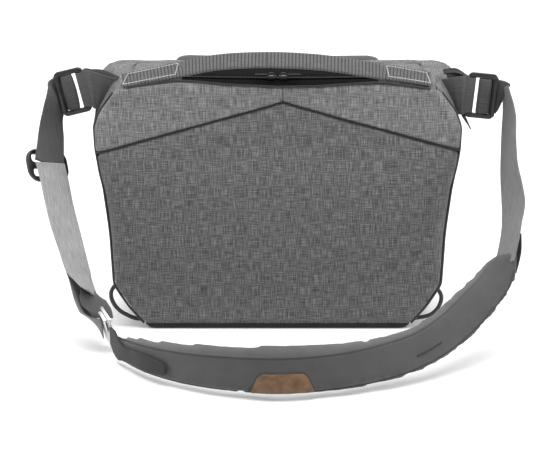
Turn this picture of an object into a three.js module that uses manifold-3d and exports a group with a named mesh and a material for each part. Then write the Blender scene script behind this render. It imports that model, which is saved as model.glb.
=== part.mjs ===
// Camera sling bag: a soft box-shaped bag with a hinged zip lid, two-way zipper, webbing grab
// handle, padded back, inner dividers and a swinging carrying strap with its metal hardware.
// Millimetres. +Z up, the front of the bag faces -Y, +X is to the right seen from the front.
// Origin: centre of the flat base. Soft pieces are plain closed solids of the real outer size.
import * as THREE from 'three';
import { mergeVertices } from 'three/addons/utils/BufferGeometryUtils.js';
import Module from 'manifold-3d';

const wasm = await Module();
wasm.setup();

// ---------------------------------------------------------------- driving dimensions
const GAP = 0.35; // clearance between touching pieces
const SHELL = 2.0; // outer fabric and its backing
const FOAM = 4.0; // wall padding
const LINING = 1.0; // inner fabric
const BASE_HEIGHT = 4.0; // height of the dark base panel's edge
const BACK_Y = 58; // outer face of the back wall
const TOP_FRONT = { y: -46, z: 243 }; // front edge of the top
const TOP_REAR = { y: BACK_Y, z: 253 }; // rear edge of the top
const CHEVRON_APEX_Z = 228; // seam between yokes and front panel, at the middle
const CHEVRON_END_Z = 179; // the same seam, at the sides

// half of the front outline, from the base up: x, z
const HALF_OUTLINE = [
  [130, 0], [164, 45], [168, 92], [174.5, 140], [182.5, 179], [183.5, 201], [178, 217],
  [160.5, 240.5], [152, 254],
];
// the same half outline at the rear, where the upper corner isn't cut off
const HALF_REAR_OUTLINE = [
  [130, 0], [164, 45], [168, 92], [174.5, 140], [182.5, 179], [184.5, 201], [186, 224],
  [183, 243], [166, 254],
];
const CORNER_WIDENS = { fromY: -30, toY: 25 }; // where the front outline turns into the rear one
// side profile, front bottom to back bottom: y, z
const SIDE_PROFILE = [
  [-69, 0], [-70, 46], [-69, 90], [-64, 150], [-57, 179], [-50, 217],
  [TOP_FRONT.y, TOP_FRONT.z], [TOP_REAR.y, TOP_REAR.z], [60, 130], [58, 0],
];

const LID = { halfWidth: 147, frontY: -21.7, rearY: 44, thickness: 4 };
const ZIP = { tapeThickness: 0.8, lidTape: 36, chainWidth: 2.4, chainHeight: 1.8, halfLength: 146, gapY: -22 };
const SLIDER = { length: 9, width: 6.6, height: 4.2, parkX: 6 };
const PULL = { length: 13, width: 5, thickness: 1.4 };
const HANDLE = { width: 21, thickness: 3, startX: -94, endX: 104 };
const BACK_PAD = { innerX: 8, outerX: 124, bottomZ: 18, topZ: 262, thickness: 13 };
const DIVIDER = { x: 56, thickness: 7, frontY: -46, rearY: 36, bottomZ: 16, topZ: 212 };
const SLEEVE = { y: 39, thickness: 2, halfWidth: 138, bottomZ: 12, topZ: 222 };
const WEB = { width: 38, thickness: 1.8 }; // strap webbing
const LOCK = { length: 30, height: 46, thickness: 4.5, bar: 5, slot: 7.5 };
const LOCK_LEFT = { x: -206, y: -15, z: 232, lean: -0.24 }; // middle, and turn about y
const LOCK_RIGHT = { x: 205, y: -15, z: 228, lean: 0.1 };
const LOOP_RADIUS = 2.0;

// ---------------------------------------------------------------- materials
const paint = (color, roughness, metalness = 0) =>
  new THREE.MeshStandardMaterial({ color, roughness, metalness });
const materials = {
  shell: paint(0x77797b, 0.92),
  smooth: paint(0x626466, 0.85),
  darkWeb: paint(0x3a3b3c, 0.7),
  lightWeb: paint(0xa5a7a9, 0.88),
  ribbed: paint(0x858789, 0.85),
  black: paint(0x232425, 0.45),
  tape: paint(0x1d1d1e, 0.6),
  lining: paint(0x8f9294, 0.9),
  foam: paint(0xbfc1c2, 0.95),
  metal: paint(0xc9cccf, 0.3, 1),
  leather: paint(0x8c6a4a, 0.6),
};

// ---------------------------------------------------------------- helpers
const group = new THREE.Group();

function add(name, geometry, material) {
  const mesh = new THREE.Mesh(geometry, material);
  mesh.name = name;
  group.add(mesh);
}

function toSolid(geometry) {
  const bare = geometry.index ? geometry.toNonIndexed() : geometry.clone();
  bare.deleteAttribute('normal');
  bare.deleteAttribute('uv');
  const merged = mergeVertices(bare, 1e-4);
  const vertProperties = new Float32Array(merged.attributes.position.array);
  const triVerts = new Uint32Array(merged.index.array);
  return new wasm.Manifold(new wasm.Mesh({ numProp: 3, vertProperties, triVerts }));
}

function toGeometry(solid) {
  const mesh = solid.getMesh();
  const geometry = new THREE.BufferGeometry();
  geometry.setAttribute('position', new THREE.BufferAttribute(new Float32Array(mesh.vertProperties), 3));
  geometry.setIndex(Array.from(mesh.triVerts));
  return geometry;
}

// closed polygon moved inwards by a distance, corner by corner
function inset(points, distance) {
  const count = points.length;
  const area = points.reduce((sum, p, i) => {
    const q = points[(i + 1) % count];
    return sum + p[0] * q[1] - q[0] * p[1];
  }, 0);
  const side = Math.sign(area);
  return points.map((p, i) => {
    const before = points[(i + count - 1) % count];
    const after = points[(i + 1) % count];
    const d1 = new THREE.Vector2(p[0] - before[0], p[1] - before[1]).normalize();
    const d2 = new THREE.Vector2(after[0] - p[0], after[1] - p[1]).normalize();
    const n1 = new THREE.Vector2(-d1.y, d1.x).multiplyScalar(side);
    const n2 = new THREE.Vector2(-d2.y, d2.x).multiplyScalar(side);
    const mid = n1.clone().add(n2);
    mid.multiplyScalar(distance / (1 + n1.dot(n2)));
    return [p[0] + mid.x, p[1] + mid.y];
  });
}

function toShape(points) {
  return new THREE.Shape(points.map(([a, b]) => new THREE.Vector2(a, b)));
}

// x-z polygon (or shape) carried along y from y0 to y1
function prismAlongY(outline, y0, y1) {
  const shape = Array.isArray(outline) ? toShape(outline) : outline;
  const options = { depth: y1 - y0, bevelEnabled: false };
  const geometry = new THREE.ExtrudeGeometry(shape, options);
  geometry.rotateX(Math.PI / 2);
  geometry.translate(0, y1, 0);
  return geometry;
}

// y-z polygon carried along x from x0 to x1
function prismAlongX(points, x0, x1) {
  const options = { depth: x1 - x0, bevelEnabled: false };
  const geometry = new THREE.ExtrudeGeometry(toShape(points), options);
  const turn = new THREE.Matrix4().set(0, 0, 1, x0, 1, 0, 0, 0, 0, 1, 0, 0, 0, 0, 0, 1);
  geometry.applyMatrix4(turn);
  return geometry;
}

function box(low, high) {
  const size = high.map((v, i) => v - low[i]);
  const geometry = new THREE.BoxGeometry(...size);
  geometry.translate(...high.map((v, i) => (v + low[i]) / 2));
  return geometry;
}

// rounded rectangle in a plane
function roundedShape(width, height, radius, cornerSteps = 4) {
  const points = [];
  for (const [sx, sy, start] of [[1, -1, -90], [1, 1, 0], [-1, 1, 90], [-1, -1, 180]]) {
    for (let i = 0; i <= cornerSteps; i += 1) {
      const angle = THREE.MathUtils.degToRad(start + (90 * i) / cornerSteps);
      const x = sx * (width / 2 - radius) + radius * Math.cos(angle);
      const y = sy * (height / 2 - radius) + radius * Math.sin(angle);
      points.push([x, y]);
    }
  }
  return toShape(points);
}

// rounded plate in the x-z plane with slots, each given as middle x, width and height
function slottedFrame(width, height, radius, thickness, slots) {
  const half = thickness / 2;
  let frame = toSolid(prismAlongY(roundedShape(width, height, radius), -half, half));
  for (const [x, slotWidth, slotHeight] of slots) {
    const low = [x - slotWidth / 2, -thickness, -slotHeight / 2];
    const high = [x + slotWidth / 2, thickness, slotHeight / 2];
    frame = frame.subtract(toSolid(box(low, high)));
  }
  return toGeometry(frame);
}

// closed skin through rings of equal point count, flat caps at both ends
function loft(rings) {
  const count = rings[0].length;
  const positions = [];
  const index = [];
  for (const ring of rings) {
    for (const p of ring) {
      positions.push(p.x, p.y, p.z);
    }
  }
  for (let i = 0; i + 1 < rings.length; i += 1) {
    for (let j = 0; j < count; j += 1) {
      const a = i * count + j;
      const b = i * count + ((j + 1) % count);
      index.push(a, b, a + count, b, b + count, a + count);
    }
  }
  const last = (rings.length - 1) * count;
  for (let j = 1; j + 1 < count; j += 1) {
    index.push(0, j + 1, j);
    index.push(last, last + j, last + j + 1);
  }
  const geometry = new THREE.BufferGeometry();
  geometry.setAttribute('position', new THREE.Float32BufferAttribute(positions, 3));
  geometry.setIndex(index);
  if (signedVolume(geometry) < 0) {
    for (let k = 0; k < index.length; k += 3) {
      [index[k + 1], index[k + 2]] = [index[k + 2], index[k + 1]];
    }
    geometry.setIndex(index);
  }
  return geometry;
}

function signedVolume(geometry) {
  const p = geometry.attributes.position;
  const corners = [new THREE.Vector3(), new THREE.Vector3(), new THREE.Vector3()];
  let volume = 0;
  for (let k = 0; k < geometry.index.count; k += 3) {
    corners.forEach((corner, m) => corner.fromBufferAttribute(p, geometry.index.getX(k + m)));
    volume += corners[0].dot(corners[1].clone().cross(corners[2])) / 6;
  }
  return volume;
}

// Flat strap along a route. Each stop: at = middle, across = direction from the outer or lower
// edge to the inner or upper edge, width, thick. Where a strap fans round inside its own plane
// the stops also give its normal. "round" is the number of points in a section.
function strap(stops, steps, round = 4) {
  const route = new THREE.CatmullRomCurve3(stops.map((s) => new THREE.Vector3(...s.at)));
  const between = (a, b, f) => new THREE.Vector3(...a).lerp(new THREE.Vector3(...b), f).normalize();
  const rings = [];
  for (let i = 0; i <= steps; i += 1) {
    const u = i / steps;
    const place = Math.min(u * (stops.length - 1), stops.length - 1 - 1e-9);
    const k = Math.floor(place);
    const f = place - k;
    const [from, to] = [stops[k], stops[k + 1]];
    const middle = route.getPoint(u);
    const along = route.getTangent(u);
    const across = between(from.across, to.across, f);
    let normal;
    if (from.normal && to.normal) {
      normal = between(from.normal, to.normal, f);
    } else {
      across.addScaledVector(along, -across.dot(along)).normalize();
      normal = along.clone().cross(across);
    }
    const halfWidth = (from.width + (to.width - from.width) * f) / 2;
    const halfThick = (from.thick + (to.thick - from.thick) * f) / 2;
    rings.push(sectionRing(middle, across, normal, halfWidth, halfThick, round));
  }
  return loft(rings);
}

function sectionRing(middle, across, normal, halfWidth, halfThick, round) {
  const ring = [];
  for (let j = 0; j < round; j += 1) {
    const angle = ((j + 0.5) / round) * 2 * Math.PI;
    const power = round === 4 ? 0 : 0.5;
    const a = Math.sign(Math.cos(angle)) * Math.abs(Math.cos(angle)) ** power;
    const b = Math.sign(Math.sin(angle)) * Math.abs(Math.sin(angle)) ** power;
    const point = middle.clone();
    point.addScaledVector(across, a * halfWidth);
    point.addScaledVector(normal, b * halfThick);
    ring.push(point);
  }
  return ring;
}

// local x along the strap, y out of the plane, z across the strap
function placement(origin, along, across) {
  const x = along.clone().normalize();
  const z = across.clone().addScaledVector(x, -across.dot(x)).normalize();
  const y = z.clone().cross(x);
  return new THREE.Matrix4().makeBasis(x, y, z).setPosition(origin);
}

// ---------------------------------------------------------------- bag walls
const mirrored = (half) => [...half, ...half.map(([x, z]) => [-x, z]).reverse()];
const outline = mirrored(HALF_OUTLINE);
const rearOutline = mirrored(HALF_REAR_OUTLINE);

function bodySolid(depth) {
  const section = (points, y) => inset(points, depth).map(([x, z]) => new THREE.Vector3(x, y, z));
  const across = toSolid(loft([
    section(outline, -120), section(outline, CORNER_WIDENS.fromY),
    section(rearOutline, CORNER_WIDENS.toY), section(rearOutline, 120),
  ]));
  const side = toSolid(prismAlongX(inset(SIDE_PROFILE, depth), -250, 250));
  return across.intersect(side);
}

function layer(outer, inner) {
  return bodySolid(outer).subtract(bodySolid(inner));
}

function topLineZ(y) {
  const slope = (TOP_REAR.z - TOP_FRONT.z) / (TOP_REAR.y - TOP_FRONT.y);
  return TOP_FRONT.z + (y - TOP_FRONT.y) * slope;
}

// everything above the top surface lowered by a distance
function aboveTop(lowered) {
  const points = [
    [-120, topLineZ(-120) - lowered], [120, topLineZ(120) - lowered], [120, 400], [-120, 400],
  ];
  return toSolid(prismAlongX(points, -250, 250));
}

function chevron(shift) {
  const points = [
    [-220, CHEVRON_END_Z - 10 + shift], [0, CHEVRON_APEX_Z + shift],
    [220, CHEVRON_END_Z - 10 + shift], [220, 400], [-220, 400],
  ];
  return toSolid(prismAlongY(points, -120, 0));
}

const shell = layer(0, SHELL);
const shellWalls = shell
  .subtract(aboveTop(SHELL + GAP))
  .subtract(toSolid(box([-250, -120, -10], [250, 120, BASE_HEIGHT + GAP])));
const frontZone = toSolid(prismAlongY(inset(outline, SHELL + 1), -120, -20));
const frontZoneWide = toSolid(prismAlongY(inset(outline, SHELL + 1 - GAP), -120, -20));
const frontWall = shellWalls.intersect(frontZone);
const rearZone = toSolid(box([-250, BACK_Y - 4, -10], [250, 120, 400]));
const rearZoneWide = toSolid(box([-250, BACK_Y - 4 - GAP, -10], [250, 120, 400]));
const sideWalls = shellWalls.subtract(frontZoneWide).subtract(rearZoneWide);
const leftHalf = (edge) => toSolid(box([-250, -120, -10], [edge, 120, 400]));
const rightHalf = (edge) => toSolid(box([edge, -120, -10], [250, 120, 400]));

const basePlate = bodySolid(0).intersect(toSolid(box([-250, -120, -1], [250, 120, BASE_HEIGHT])));
add('base_panel', toGeometry(basePlate.subtract(bodySolid(SHELL))), materials.black);
add('front_panel', toGeometry(frontWall.subtract(chevron(-GAP))), materials.shell);
const yokes = frontWall.intersect(chevron(0));
add('front_yoke_left', toGeometry(yokes.intersect(leftHalf(-GAP / 2))), materials.shell);
add('front_yoke_right', toGeometry(yokes.intersect(rightHalf(GAP / 2))), materials.shell);
add('side_gusset_left', toGeometry(sideWalls.intersect(leftHalf(-60))), materials.shell);
add('side_gusset_right', toGeometry(sideWalls.intersect(rightHalf(60))), materials.shell);
add('back_panel', toGeometry(shellWalls.intersect(rearZone)), materials.shell);

const lidHole = toSolid(box([-LID.halfWidth - 0.5, LID.frontY - 0.6, 200],
  [LID.halfWidth + 0.5, LID.rearY + 0.6, 300]));
const rim = shell.intersect(aboveTop(SHELL)).subtract(lidHole);
add('top_rim', toGeometry(rim), materials.shell);

const lidSpace = toSolid(box([-LID.halfWidth, LID.frontY, 200], [LID.halfWidth, LID.rearY, 300]));
add('lid_panel', toGeometry(layer(0, SHELL).intersect(lidSpace)), materials.shell);
const lidInner = toSolid(box([-LID.halfWidth + 2, LID.frontY + 2, 200],
  [LID.halfWidth - 2, LID.rearY - 4, 300]));
add('lid_lining', toGeometry(layer(SHELL + GAP, LID.thickness).intersect(lidInner)), materials.lining);

// ---------------------------------------------------------------- padding, lining, dividers
const foamOuter = SHELL + GAP;
const foamInner = foamOuter + FOAM;
const wallFoam = layer(foamOuter, foamInner);
const foamTop = 232;
const foamBottom = foamInner + GAP;
const foamFrontBox = toSolid(box([-140, -120, foamBottom], [140, -30, foamTop - 2]));
const foamRearBox = toSolid(box([-140, 40, foamBottom], [140, 120, foamTop]));
const foamBaseBox = toSolid(box([-118, -120, 0], [118, 120, foamInner]));
add('foam_front', toGeometry(wallFoam.intersect(foamFrontBox)), materials.foam);
add('foam_back', toGeometry(wallFoam.intersect(foamRearBox)), materials.foam);
add('foam_base', toGeometry(wallFoam.intersect(foamBaseBox)), materials.foam);

const liningOuter = foamInner + GAP;
const cavityDepth = liningOuter + LINING;
const tubTop = toSolid(box([-250, -120, foamTop], [250, 120, 400]));
add('lining_tub', toGeometry(layer(liningOuter, cavityDepth).subtract(tubTop)), materials.lining);

const cavity = bodySolid(cavityDepth + GAP);
for (const [name, side] of [['divider_left', -1], ['divider_right', 1]]) {
  const low = side * DIVIDER.x - DIVIDER.thickness / 2;
  const slab = box([low, -120, DIVIDER.bottomZ], [low + DIVIDER.thickness, DIVIDER.rearY, DIVIDER.topZ]);
  add(name, toGeometry(toSolid(slab).intersect(cavity)), materials.lining);
}
const sleeveBox = box([-SLEEVE.halfWidth, SLEEVE.y, SLEEVE.bottomZ],
  [SLEEVE.halfWidth, SLEEVE.y + SLEEVE.thickness, SLEEVE.topZ]);
add('tablet_sleeve', toGeometry(toSolid(sleeveBox).intersect(cavity)), materials.lining);

// ---------------------------------------------------------------- back padding
for (const [name, side] of [['back_pad_left', -1], ['back_pad_right', 1]]) {
  const width = BACK_PAD.outerX - BACK_PAD.innerX;
  const height = BACK_PAD.topZ - BACK_PAD.bottomZ;
  const shape = roundedShape(width, height, 22);
  const y0 = 60 + GAP + 0.2;
  const geometry = prismAlongY(shape, y0, y0 + BACK_PAD.thickness);
  geometry.translate(side * (BACK_PAD.innerX + width / 2), 0, BACK_PAD.bottomZ + height / 2);
  add(name, geometry, materials.smooth);
}

// ---------------------------------------------------------------- zipper
// Strips on the top surface are prisms along x whose section follows the slope of the top.
function topStrip(y0, y1, lift, thickness, x0, x1) {
  const points = [
    [y0, topLineZ(y0) + lift], [y1, topLineZ(y1) + lift],
    [y1, topLineZ(y1) + lift + thickness], [y0, topLineZ(y0) + lift + thickness],
  ];
  return prismAlongX(points, x0, x1);
}

const chainFrontY = ZIP.gapY - 0.3 - ZIP.chainWidth;
const chainRearY = ZIP.gapY + 0.4;
const zipEnd = ZIP.halfLength;
const tapeFront = toSolid(topStrip(-30.4, ZIP.gapY - 0.3, GAP, ZIP.tapeThickness, -zipEnd, zipEnd))
  .add(toSolid(topStrip(-45.2, -30, GAP, ZIP.tapeThickness, HANDLE.startX + 3, HANDLE.endX - 3)));
add('zip_tape_front', toGeometry(tapeFront), materials.tape);
add('zip_tape_lid', topStrip(chainRearY, chainRearY + ZIP.lidTape, GAP, ZIP.tapeThickness,
  -zipEnd, zipEnd), materials.tape);
const chainLift = GAP + ZIP.tapeThickness + GAP;
add('zip_chain_front', topStrip(chainFrontY, chainFrontY + ZIP.chainWidth, chainLift,
  ZIP.chainHeight, -zipEnd, zipEnd), materials.tape);
add('zip_chain_lid', topStrip(chainRearY, chainRearY + ZIP.chainWidth, chainLift,
  ZIP.chainHeight, -zipEnd, zipEnd), materials.tape);

// slider: a low block bridging over the front row of teeth, with a lug that holds the pull.
// The pull lies flat, pointing away from the other slider, and flips up about its inner end.
const sliderRearY = ZIP.gapY - 0.3;
const sliderFrontY = sliderRearY - SLIDER.width - 1;
const sliderZ = topLineZ(sliderRearY) + chainLift + ZIP.chainHeight + GAP;
const pullPivotX = SLIDER.parkX + SLIDER.length / 2 - 0.5;
const pullZ = sliderZ + 1.6;
for (const [name, side] of [['left', -1], ['right', 1]]) {
  const x = side * SLIDER.parkX;
  const half = SLIDER.length / 2;
  const body = toSolid(box([x - half, sliderFrontY, sliderZ], [x + half, sliderRearY, sliderZ + 1.4]));
  const skirt = toSolid(box([x - half, sliderFrontY, sliderZ - ZIP.chainHeight],
    [x + half, chainFrontY - 0.4, sliderZ + 0.2]));
  const lug = toSolid(box([x - 2, sliderFrontY + 1.8, sliderZ + 1.2],
    [x + 2, sliderFrontY + 4.4, sliderZ + SLIDER.height]));
  add(`zip_slider_${name}`, toGeometry(body.add(skirt).add(lug)), materials.black);
  const ends = [side * (pullPivotX - 0.4), side * (pullPivotX + PULL.length)];
  const pullY = sliderFrontY + 0.6;
  const pull = box([Math.min(...ends), pullY, pullZ],
    [Math.max(...ends), pullY + PULL.width, pullZ + PULL.thickness]);
  add(`zip_pull_${name}`, pull, materials.darkWeb);
}

// ---------------------------------------------------------------- grab handle and its end patches
const handleAcross = [0, 0.78, 0.62];
const handleStop = (x, y, z) => (
  { at: [x, y, z], across: handleAcross, width: HANDLE.width, thick: HANDLE.thickness });
const handleStops = [
  handleStop(HANDLE.startX, -37.5, 259), handleStop(-60, -41, 266), handleStop(-10, -44, 269),
  handleStop(45, -43, 266), handleStop(HANDLE.endX, -37.5, 256),
];
add('grab_handle', strap(handleStops, 16), materials.ribbed);

// stitched end: a low wedge between the top surface and the sloping webbing
function patchGeometry(innerX, outerX, innerLow, innerHigh, outerLow, outerHigh) {
  const frontY = -45.4;
  const rearY = -31;
  const section = (x, low, high) => [
    new THREE.Vector3(x, frontY, topLineZ(frontY) + GAP),
    new THREE.Vector3(x, rearY, topLineZ(rearY) + GAP),
    new THREE.Vector3(x, rearY, high),
    new THREE.Vector3(x, frontY, low),
  ];
  return loft([section(innerX, innerLow, innerHigh), section(outerX, outerLow, outerHigh)]);
}
const patchGap = 1.0;
add('handle_patch_left', patchGeometry(HANDLE.startX - patchGap, -152, 252.5, 263, 245.5, 257),
  materials.ribbed);
add('handle_patch_right', patchGeometry(HANDLE.endX + patchGap, 152, 250, 261, 244.5, 254),
  materials.ribbed);

// ---------------------------------------------------------------- corner loops
// half ring of cord standing off each lower chamfer near the front
const loopStops = {
  left: [[-163.6, 42], [-167.4, 36], [-167.2, 29], [-164, 22], [-158.5, 16], [-151, 11.5], [-143.5, 9.5]],
  right: [[162, 38], [165, 32], [164.6, 25.5], [161, 18], [155, 12.5], [148, 10], [141.5, 9]],
};
for (const [name, stops] of Object.entries(loopStops)) {
  const points = stops.map(([x, z]) => new THREE.Vector3(x, -62, z));
  const circle = new THREE.Shape().absarc(0, 0, LOOP_RADIUS, 0, 2 * Math.PI);
  const extrudePath = new THREE.CatmullRomCurve3(points);
  const geometry = new THREE.ExtrudeGeometry(circle, { steps: 16, extrudePath, curveSegments: 8 });
  add(`corner_loop_${name}`, geometry, materials.darkWeb);
}

// ---------------------------------------------------------------- strap anchors and ladder-locks
// point in the ladder-lock's plane: out = away from the bag, up = along its bars
function lockPoint(lock, out, up) {
  const side = Math.sign(lock.x);
  const x = side * out * Math.cos(lock.lean) + up * Math.sin(lock.lean);
  const z = -side * out * Math.sin(lock.lean) + up * Math.cos(lock.lean);
  return [lock.x + x, lock.y, lock.z + z];
}

// Fan-shaped webbing tab on the bag's top corner. It stops short of the space that the
// ladder-lock's inner bar sweeps when the strap swings round.
const lockEdge = LOCK.length / 2 + 0.6;
for (const [name, side, endX] of [['left', -1, 185.3], ['right', 1, 187.2]]) {
  const fan = [[160, 238], [endX, 251], [endX, 214], [180, 204]].map(([x, z]) => [side * x, z]);
  const sheet = prismAlongY(side < 0 ? fan : fan.reverse(), -16.5, -13.5);
  add(`anchor_tab_${name}`, toGeometry(toSolid(sheet).subtract(bodySolid(-GAP))), materials.darkWeb);
}

// webbing buckle: rounded frame with two slots; local x along the strap, z along the bars
const lockOpening = LOCK.height - 2 * LOCK.bar;
const lockSlots = [-1, 1].map((side) => [side * (LOCK.bar + LOCK.slot) / 2, LOCK.slot, lockOpening]);
for (const [name, lock] of [['left', LOCK_LEFT], ['right', LOCK_RIGHT]]) {
  const frame = slottedFrame(LOCK.length, LOCK.height, 4, LOCK.thickness, lockSlots);
  const mesh = new THREE.Mesh(frame, materials.black);
  mesh.name = `ladder_lock_${name}`;
  mesh.position.set(lock.x, lock.y, lock.z);
  mesh.rotation.y = lock.lean;
  group.add(mesh);
}

// ---------------------------------------------------------------- carrying strap, left side
const web = (at, across, width = WEB.width, thick = WEB.thickness) => ({ at, across, width, thick });
const ringCentre = [-228, -45, 163];
const upperLeft = [
  { ...web(lockPoint(LOCK_LEFT, lockEdge + 0.4, -1), [0.24, 0, -0.97], 34), normal: [0, -1, 0] },
  { ...web([-225.5, -17, 216], [0.62, 0.15, -0.77], 34), normal: [0.15, -0.98, -0.1] },
  { ...web([-227, -26, 198], [0.8, 0.42, -0.42], 35), normal: [0.47, -0.88, 0.05] },
  { ...web([-227.5, -35, 181], [0.78, 0.52, -0.34], 36), normal: [0.6, -0.72, 0.3] },
  { ...web([-228, -42, 167], [0.74, 0.6, -0.3]), normal: [0.66, -0.62, 0.39] },
];
add('strap_upper_left', strap(upperLeft, 14), materials.darkWeb);

const adjusterAt = new THREE.Vector3(-162.5, -146, 24);
const adjusterAlong = new THREE.Vector3(0.45, -0.8, -0.4);
const adjusterAcross = new THREE.Vector3(-0.15, -0.5, 0.85);
const lowerLeft = [
  web([-228, -47, 160], [0.74, 0.6, -0.3]), web([-222, -57, 146], [0.7, 0.67, -0.25]),
  web([-216.5, -70, 127], [0.68, 0.7, -0.2]), web([-209.5, -84, 105], [0.68, 0.72, -0.15]),
  web([-200, -99, 80], [0.58, 0.78, 0.1]), web([-188, -113, 51], [0.3, 0.8, 0.5]),
  web([-175, -127, 29], [-0.2, 0.35, 0.9]),
];
add('strap_lower_left', strap(lowerLeft, 20), materials.lightWeb);

// oval slider of the strap length: frame with two slots, set around the fold of the webbing
const ringFrame = slottedFrame(34, 50, 12, 4, [[-7.5, 8, 38], [7.5, 8, 38]]);
const ringAlong = new THREE.Vector3(0.2, -0.42, -0.88);
const ringAcross = new THREE.Vector3(0.74, 0.6, -0.3);
const ringOffset = new THREE.Vector3(...ringCentre).add(new THREE.Vector3(-2.6, 3.4, -1.2));
ringFrame.applyMatrix4(placement(ringOffset, ringAlong, ringAcross));
add('ring_slider', ringFrame, materials.black);

// quick adjuster: a metal frame, a lever plate pivoting on it, and the fabric tab that lifts it
const adjusterPlace = placement(adjusterAt, adjusterAlong, adjusterAcross);
const adjusterFrame = slottedFrame(24, 42, 3, 3, [[-5, 8, 35], [6, 6, 35]]);
adjusterFrame.applyMatrix4(adjusterPlace);
add('adjuster_frame', adjusterFrame, materials.metal);
const lever = box([-9, -5.2, -19], [8, -1.9, 19]);
lever.applyMatrix4(adjusterPlace);
add('adjuster_lever', lever, materials.metal);

// ---------------------------------------------------------------- shoulder pad and right side
const padStops = [
  { at: [-151.5, -172, 15.5], across: [-0.02, 0.1, 1], width: 26, thick: 4 },
  { at: [-147, -180, 16.2], across: [-0.03, 0.1, 1], width: 28.5, thick: 5 },
  { at: [-136, -200, 18.3], across: [-0.03, 0.12, 1], width: 33.5, thick: 8 },
  { at: [-116, -228, 20.5], across: [0, 0.14, 1], width: 38, thick: 11 },
  { at: [-85, -256, 22.8], across: [0, 0.15, 1], width: 42.5, thick: 13 },
  { at: [-45, -277, 24.7], across: [0, 0.15, 1], width: 46.5, thick: 13 },
  { at: [0, -286, 25.6], across: [0, 0.15, 1], width: 48, thick: 13 },
  { at: [46, -276, 25.6], across: [-0.05, 0.18, 1], width: 48, thick: 13 },
  { at: [91, -255.5, 26.7], across: [-0.25, 0.32, 0.9], width: 48, thick: 13 },
  { at: [129, -231, 31.2], across: [-0.49, 0.37, 0.79], width: 46, thick: 13 },
  { at: [159.4, -203, 41], across: [-0.66, 0.39, 0.64], width: 46, thick: 13 },
  { at: [184.1, -176, 54.6], across: [-0.79, 0.48, 0.38], width: 46, thick: 12 },
  { at: [204.6, -150, 67.5], across: [-0.83, 0.55, 0.06], width: 45, thick: 11 },
  { at: [216.5, -130, 80.5], across: [-0.71, 0.63, -0.32], width: 42, thick: 9 },
  { at: [222.9, -118, 90.4], across: [-0.42, 0.7, -0.58], width: 38, thick: 6 },
];
add('strap_pad', strap(padStops, 30, 12), materials.smooth);

const rightWeb = [
  { ...web(lockPoint(LOCK_RIGHT, lockEdge + 0.4, 0), [-0.1, 0, -0.99], 34), normal: [0, 1, 0] },
  { ...web([226.5, -19, 213], [-0.5, 0.45, -0.7], 36), normal: [0.45, 0.88, 0.2] },
  { ...web([228.5, -30, 200], [-0.4, 0.75, -0.5], 37), normal: [0.9, 0.4, -0.13] },
  web([229.8, -42, 184.5], [-0.29, 0.81, -0.52]), web([230.3, -58, 160], [-0.35, 0.76, -0.55]),
  web([232, -73, 141], [-0.46, 0.66, -0.59]), web([232.4, -86, 126.5], [-0.52, 0.65, -0.55]),
  web([229.3, -99, 111.7], [-0.44, 0.74, -0.51]), web([223.6, -115.4, 92.8], [-0.46, 0.71, -0.54]),
];
add('strap_right', strap(rightWeb, 22), materials.lightWeb);

// leather patch sewn on the pad's outer face, plain
const patchShape = toShape([[-27.3, 0], [27.3, 0], [17.5, 18], [-17.5, 18]]);
const leather = new THREE.ExtrudeGeometry(patchShape, { depth: 1.2, bevelEnabled: false });
leather.rotateX(Math.PI / 2 - 0.15);
leather.translate(3.9, -296.3, 3.2);
add('leather_patch', leather, materials.leather);

// fabric tabs: one lifts the adjuster lever, one ends the pad on the right
const tabLeft = [
  web([-161.5, -160, 17.5], [-0.1, 0.1, 1], 22, 2), web([-153, -188, 17], [-0.1, 0.1, 1], 20, 2),
  web([-134, -222, 20], [-0.05, 0.1, 1], 16, 2), web([-110, -249, 20.5], [0, 0.1, 1], 11, 2),
];
add('pull_tab_left', strap(tabLeft, 8), materials.black);

const tabRight = [
  web([234.5, -103, 104], [-0.44, 0.74, -0.51], 15, 2), web([232.5, -117, 90], [-0.5, 0.7, -0.5], 16, 2),
  web([227.5, -131, 74], [-0.6, 0.68, -0.4], 11, 2),
];
add('pull_tab_right', strap(tabRight, 6), materials.black);

export default group;
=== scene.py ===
import math

import bpy
import numpy as np
from mathutils import Matrix, Vector, noise
from mathutils.bvhtree import BVHTree


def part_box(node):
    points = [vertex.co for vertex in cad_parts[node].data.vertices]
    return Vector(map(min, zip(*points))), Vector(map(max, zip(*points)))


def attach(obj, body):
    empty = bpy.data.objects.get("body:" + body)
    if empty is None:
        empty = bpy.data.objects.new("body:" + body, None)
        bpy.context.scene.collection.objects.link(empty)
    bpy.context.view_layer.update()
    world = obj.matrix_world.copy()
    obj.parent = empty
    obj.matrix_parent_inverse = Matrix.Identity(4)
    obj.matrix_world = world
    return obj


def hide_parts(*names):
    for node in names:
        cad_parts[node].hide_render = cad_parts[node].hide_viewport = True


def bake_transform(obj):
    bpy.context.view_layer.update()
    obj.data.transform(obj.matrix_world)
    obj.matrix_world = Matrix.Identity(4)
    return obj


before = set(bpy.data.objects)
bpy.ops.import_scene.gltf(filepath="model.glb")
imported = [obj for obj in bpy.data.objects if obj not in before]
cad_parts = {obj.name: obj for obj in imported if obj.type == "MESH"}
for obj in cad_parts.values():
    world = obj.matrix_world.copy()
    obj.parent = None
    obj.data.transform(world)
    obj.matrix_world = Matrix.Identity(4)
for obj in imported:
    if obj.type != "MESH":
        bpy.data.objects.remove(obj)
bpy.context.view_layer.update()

MM = 0.001


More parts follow.
